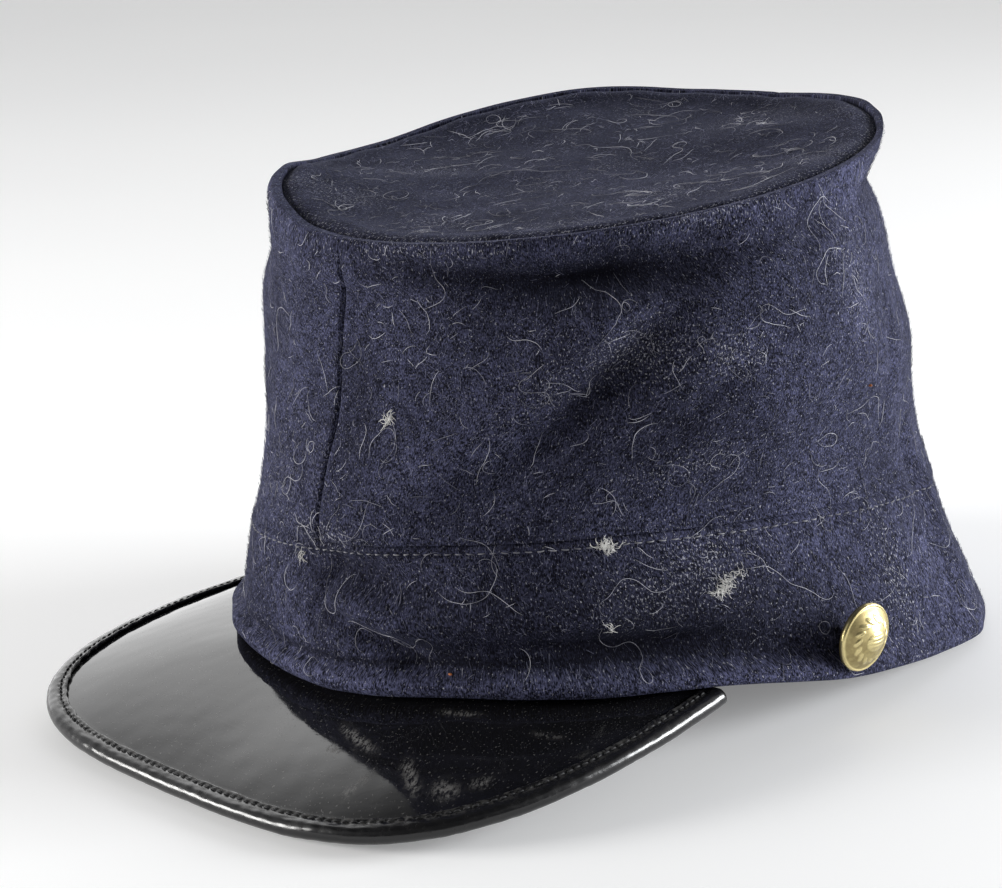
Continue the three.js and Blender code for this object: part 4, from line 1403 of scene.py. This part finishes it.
class KepiDetail(bpy.types.PropertyGroup):
    """How finely the pieces are made, and how thick their threads are."""

    body_columns: IntProperty(name="Body columns", description="Round half of the body", default=230, min=40)
    band_columns: IntProperty(name="Band columns", description="Round the band", default=760, min=80)
    crown_columns: IntProperty(name="Crown columns", description="Round the crown", default=300, min=40)
    peak_columns: IntProperty(name="Peak columns", description="Along the peak", default=300, min=40)
    binding_columns: IntProperty(name="Binding columns", description="Along the binding", default=860, min=80)
    hairs: IntProperty(name="Hairs", description="Stray hairs on the wool", default=1500, min=0)
    thread_radius: FloatProperty(
        name="Thread radius", description="Of the band's topstitch", default=0.00016, unit="LENGTH"
    )
    nap: IntProperty(name="Nap", description="Raised fibres in each third of the wall", default=7000, min=0)
    nap_radius: FloatProperty(
        name="Nap radius", description="Of the raised fibres", default=0.00003, unit="LENGTH"
    )
    hair_radius: FloatProperty(
        name="Hair radius", description="Of the stray hairs", default=0.00005, unit="LENGTH"
    )


class KepiStage(bpy.types.PropertyGroup):
    """Camera, floor and light."""

    azimuth: FloatProperty(
        name="Azimuth", description="Camera's bearing", default=math.radians(45.55), unit="ROTATION"
    )
    elevation: FloatProperty(
        name="Elevation", description="Camera's height", default=math.radians(14.63), unit="ROTATION"
    )
    roll: FloatProperty(
        name="Roll", description="Camera's lean", default=math.radians(-2.25), unit="ROTATION"
    )
    distance: FloatProperty(
        name="Distance", description="From the camera to its target", default=0.6, unit="LENGTH"
    )
    target: FloatVectorProperty(
        name="Target",
        description="Point that the camera looks at",
        subtype="XYZ",
        default=(-0.01891, 0.00148, 0.04988),
    )
    lens: FloatProperty(name="Lens", description="Focal length in mm", default=87.87)
    floor_radius: FloatProperty(
        name="Floor radius", description="How far the floor reaches", default=6.0, unit="LENGTH"
    )
    side_light: FloatProperty(name="Side light", description="Surroundings at both sides", default=0.7)
    front_light: FloatProperty(name="Front light", description="By the camera", default=0.10)
    back_light: FloatProperty(name="Back light", description="Behind the cap", default=2.2)
    top_share: FloatProperty(name="Ceiling", description="Share of it overhead", default=0.05)


# ------------------------------------------------------------------ operators
class KEPI_OT_crown(bpy.types.Operator):
    """Makes the crown's wool"""

    bl_idname = "kepi.crown"
    bl_label = "Crown"

    def execute(self, context):
        mesh = mesh_of("crown_cloth", make_crown(context.scene.kepi_detail.crown_columns))
        wool = materials()["navy_wool"]
        piece = finish_piece("crown_cloth", mesh, wool, replaces=["crown_top"])
        return {"FINISHED"}


class KEPI_OT_body(bpy.types.Operator):
    """Makes the two halves of the body's wool"""

    bl_idname = "kepi.body"
    bl_label = "Body"

    def execute(self, context):
        wool = materials()["navy_wool"]
        for side, node in ((1, "body_left"), (-1, "body_right")):
            half = make_body_half(side, context.scene.kepi_detail.body_columns)
            mesh = mesh_of(node + "_cloth", half)
            piece = finish_piece(node + "_cloth", mesh, wool, replaces=[node])
        return {"FINISHED"}


class KEPI_OT_band(bpy.types.Operator):
    """Makes the band's wool and its topstitch"""

    bl_idname = "kepi.band"
    bl_label = "Band"

    def execute(self, context):
        detail = context.scene.kepi_detail
        finishes = materials()
        mesh = mesh_of("band_cloth", make_band(detail.band_columns))
        band = finish_piece("band_cloth", mesh, finishes["navy_wool"], replaces=["band"])
        paths = band_stitch_paths(random.Random(61))
        thread = finishes["pale_thread"]
        stitches = tubes("band_stitches", paths, detail.thread_radius, thread, sides=1, thinning=0.35)
        return {"FINISHED"}


class KEPI_OT_peak(bpy.types.Operator):
    """Makes the patent leather peak"""

    bl_idname = "kepi.peak"
    bl_label = "Peak"

    def execute(self, context):
        mesh = mesh_of("peak_leather", make_peak(context.scene.kepi_detail.peak_columns))
        patent = materials()["lacquered_leather"]
        finish_piece("peak_leather", mesh, patent, replaces=["peak"])
        return {"FINISHED"}


class KEPI_OT_binding(bpy.types.Operator):
    """Makes the binding round the peak's edge, and its stitches"""

    bl_idname = "kepi.binding"
    bl_label = "Binding"

    def execute(self, context):
        mesh = mesh_of("binding_strip", make_binding(context.scene.kepi_detail.binding_columns))
        finishes = materials()
        leather = finishes["waxed_leather"]
        finish_piece("binding_strip", mesh, leather, replaces=["peak_binding"])
        paths = binding_stitch_paths(random.Random(62))
        thread = finishes["dark_thread"]
        tubes("binding_stitches", paths, BINDING_THREAD_RADIUS, thread, sides=1, thinning=0.35)
        return {"FINISHED"}


class KEPI_OT_buttons(bpy.types.Operator):
    """Makes the two brass side buttons"""

    bl_idname = "kepi.buttons"
    bl_label = "Buttons"

    def execute(self, context):
        brass = materials()["gilt_brass"]
        for side, node in ((1, "side_button_left"), (-1, "side_button_right")):
            mesh = button_mesh(side)
            finish_piece(node + "_brass", mesh, brass, replaces=[node])
        return {"FINISHED"}


class KEPI_OT_strays(bpy.types.Operator):
    """Scatters stray hairs, white fluff and crumbs over the wool"""

    bl_idname = "kepi.strays"
    bl_label = "Hairs and lint"

    def execute(self, context):
        detail = context.scene.kepi_detail
        finishes = materials()
        hairs = hair_paths(random.Random(71), detail.hairs)
        tubes("stray_hairs", hairs, detail.hair_radius, finishes["stray_hair"], thinning=0.7)
        fibre = finishes["wool_fibre"]
        edge = 0.5 * (BAND_TOP + WALL_TOP)
        for k, (low, high) in enumerate(((2, BAND_TOP), (BAND_TOP, edge), (edge, WALL_TOP - 2))):
            nap = wall_nap_paths(random.Random(80 + k), detail.nap, low, high)
            tubes(f"wall_nap_{k + 1}", nap, detail.nap_radius, fibre)
        tubes("crown_nap", crown_nap_paths(random.Random(84), detail.nap // 2), detail.nap_radius, fibre)
        fluff = tuft_paths(random.Random(72))
        tubes("white_lint", fluff, LINT_RADIUS, finishes["white_lint"], thinning=0.7)
        finish_piece("crumbs", speck_mesh(), finishes["rust_speck"])
        return {"FINISHED"}


class KEPI_OT_stage(bpy.types.Operator):
    """Makes the floor, the light and the camera"""

    bl_idname = "kepi.stage"
    bl_label = "Stage"

    def execute(self, context):
        stage = context.scene.kepi_stage
        make_floor(stage.floor_radius)
        make_world(context.scene, stage)
        make_lights(stage)
        make_camera(context.scene, stage)
        context.scene.view_settings.view_transform = "Standard"
        return {"FINISHED"}


def toward_camera(stage):
    """Direction from the cap to the camera."""
    a, e = stage.azimuth, stage.elevation
    return Vector((math.sin(a) * math.cos(e), -math.cos(a) * math.cos(e), math.sin(e)))


def make_floor(radius):
    """A broad pale floor, faintly bright by itself."""
    bm = bmesh.new()
    bmesh.ops.create_circle(bm, cap_ends=True, segments=96, radius=radius)
    floor = bpy.data.objects.new("floor", mesh_of("floor", bm))
    bpy.context.scene.collection.objects.link(floor)
    material, g, shader = new_material(
        "pale_floor", Roughness=0.85, Specular_IOR_Level=0.1, Emission_Strength=0.22
    )
    at = g.add("ShaderNodeTexCoord", output="Object")
    tone = g.mix(g.noise(at, 3.0, 2.0), (0.84, 0.84, 0.845, 1.0), (0.88, 0.88, 0.88, 1.0))
    g.tree.links.new(tone, shader.inputs["Base Color"])
    g.tree.links.new(tone, shader.inputs["Emission Color"])
    floor.data.materials.append(material)


def make_world(scene, stage):
    """Bright low surroundings behind the cap, with a dim ceiling and a dim side by the camera."""
    world = bpy.data.worlds.new("studio")
    scene.world = world
    world.use_nodes = True
    g = Graph(world.node_tree)
    background = world.node_tree.nodes["Background"]
    at = g.add("ShaderNodeTexCoord", output="Generated")
    front = toward_camera(stage)
    front.z = 0
    toward = g.add(
        "ShaderNodeVectorMath",
        {0: at, 1: tuple(front.normalized())},
        output="Value",
        operation="DOT_PRODUCT",
    )
    height = g.add("ShaderNodeSeparateXYZ", {0: at}, output="Z")
    level = g.blend(g.span(toward, 0.0, 0.8), stage.side_light, stage.front_light)
    level = g.blend(g.span(toward, -0.55, -0.78), level, stage.back_light)
    level = g.math("MULTIPLY", level, g.span(height, 0.60, 0.88, 1.0, stage.top_share))
    seen = g.add("ShaderNodeLightPath", output="Is Camera Ray")
    g.tree.links.new(g.blend(seen, level, 0.90), background.inputs["Strength"])
    background.inputs["Color"].default_value = (1.0, 1.0, 1.0, 1.0)


def area_light(name, place, size, power, colour):
    """A soft box that faces the cap."""
    lamp = bpy.data.lights.new(name, "AREA")
    lamp.shape = "RECTANGLE"
    lamp.size, lamp.size_y = size
    lamp.energy = power
    lamp.color = colour
    light = bpy.data.objects.new(name, lamp)
    bpy.context.scene.collection.objects.link(light)
    light.location = place
    light.rotation_euler = (Vector((0, 0, 0.06)) - Vector(place)).to_track_quat("-Z", "Y").to_euler()


def make_lights(stage):
    """Low soft boxes at both sides of the camera's line."""
    front = toward_camera(stage)
    front.z = 0
    front.normalize()
    side = Vector((-front.y, front.x, 0))
    up = Vector((0, 0, 0.32))
    size = (0.7, 0.5)
    area_light("right_box", side * 1.4 - front * 0.05 + up, size, 32, (0.96, 0.98, 1.0))
    area_light("left_box", -side * 1.4 + front * 0.15 + up, size, 24, (1.0, 0.99, 0.97))


def make_camera(scene, stage):
    """The camera, turned to its target and rolled."""
    data = bpy.data.cameras.new("camera")
    data.lens = stage.lens
    data.sensor_width = 36
    camera = bpy.data.objects.new("camera", data)
    scene.collection.objects.link(camera)
    back = toward_camera(stage)
    level = Vector((math.cos(stage.azimuth), math.sin(stage.azimuth), 0))
    upright = back.cross(level)
    right = level * math.cos(stage.roll) + upright * math.sin(stage.roll)
    up = back.cross(right)
    turn = Matrix((right, up, back)).transposed().to_4x4()
    camera.matrix_world = Matrix.Translation(Vector(stage.target) + back * stage.distance) @ turn
    scene.camera = camera


class KEPI_PT_panel(bpy.types.Panel):
    """Lists the cap's pieces and settings"""

    bl_idname = "KEPI_PT_panel"
    bl_label = "Kepi Cap"
    bl_space_type = "VIEW_3D"
    bl_region_type = "UI"
    bl_category = "Kepi"

    def draw(self, context):
        layout = self.layout
        for settings in (context.scene.kepi_colours, context.scene.kepi_detail, context.scene.kepi_stage):
            box = layout.box()
            for name in settings.__annotations__:
                box.prop(settings, name)
        for operator in PIECES:
            layout.operator(operator.bl_idname)


SETTINGS = {"kepi_colours": KepiColours, "kepi_detail": KepiDetail, "kepi_stage": KepiStage}
PIECES = (
    KEPI_OT_crown,
    KEPI_OT_body,
    KEPI_OT_band,
    KEPI_OT_peak,
    KEPI_OT_binding,
    KEPI_OT_buttons,
    KEPI_OT_strays,
    KEPI_OT_stage,
)
CLASSES = (*SETTINGS.values(), *PIECES, KEPI_PT_panel)


def register():
    for cls in CLASSES:
        bpy.utils.register_class(cls)
    for name, cls in SETTINGS.items():
        setattr(bpy.types.Scene, name, PointerProperty(type=cls))


def unregister():
    for name in SETTINGS:
        delattr(bpy.types.Scene, name)
    for cls in reversed(CLASSES):
        bpy.utils.unregister_class(cls)


def main():
    register()
    bpy.ops.kepi.crown()
    bpy.ops.kepi.body()
    bpy.ops.kepi.band()
    bpy.ops.kepi.peak()
    bpy.ops.kepi.binding()
    bpy.ops.kepi.buttons()
    bpy.ops.kepi.strays()
    bpy.ops.kepi.stage()


if __name__ == "__main__":
    main()
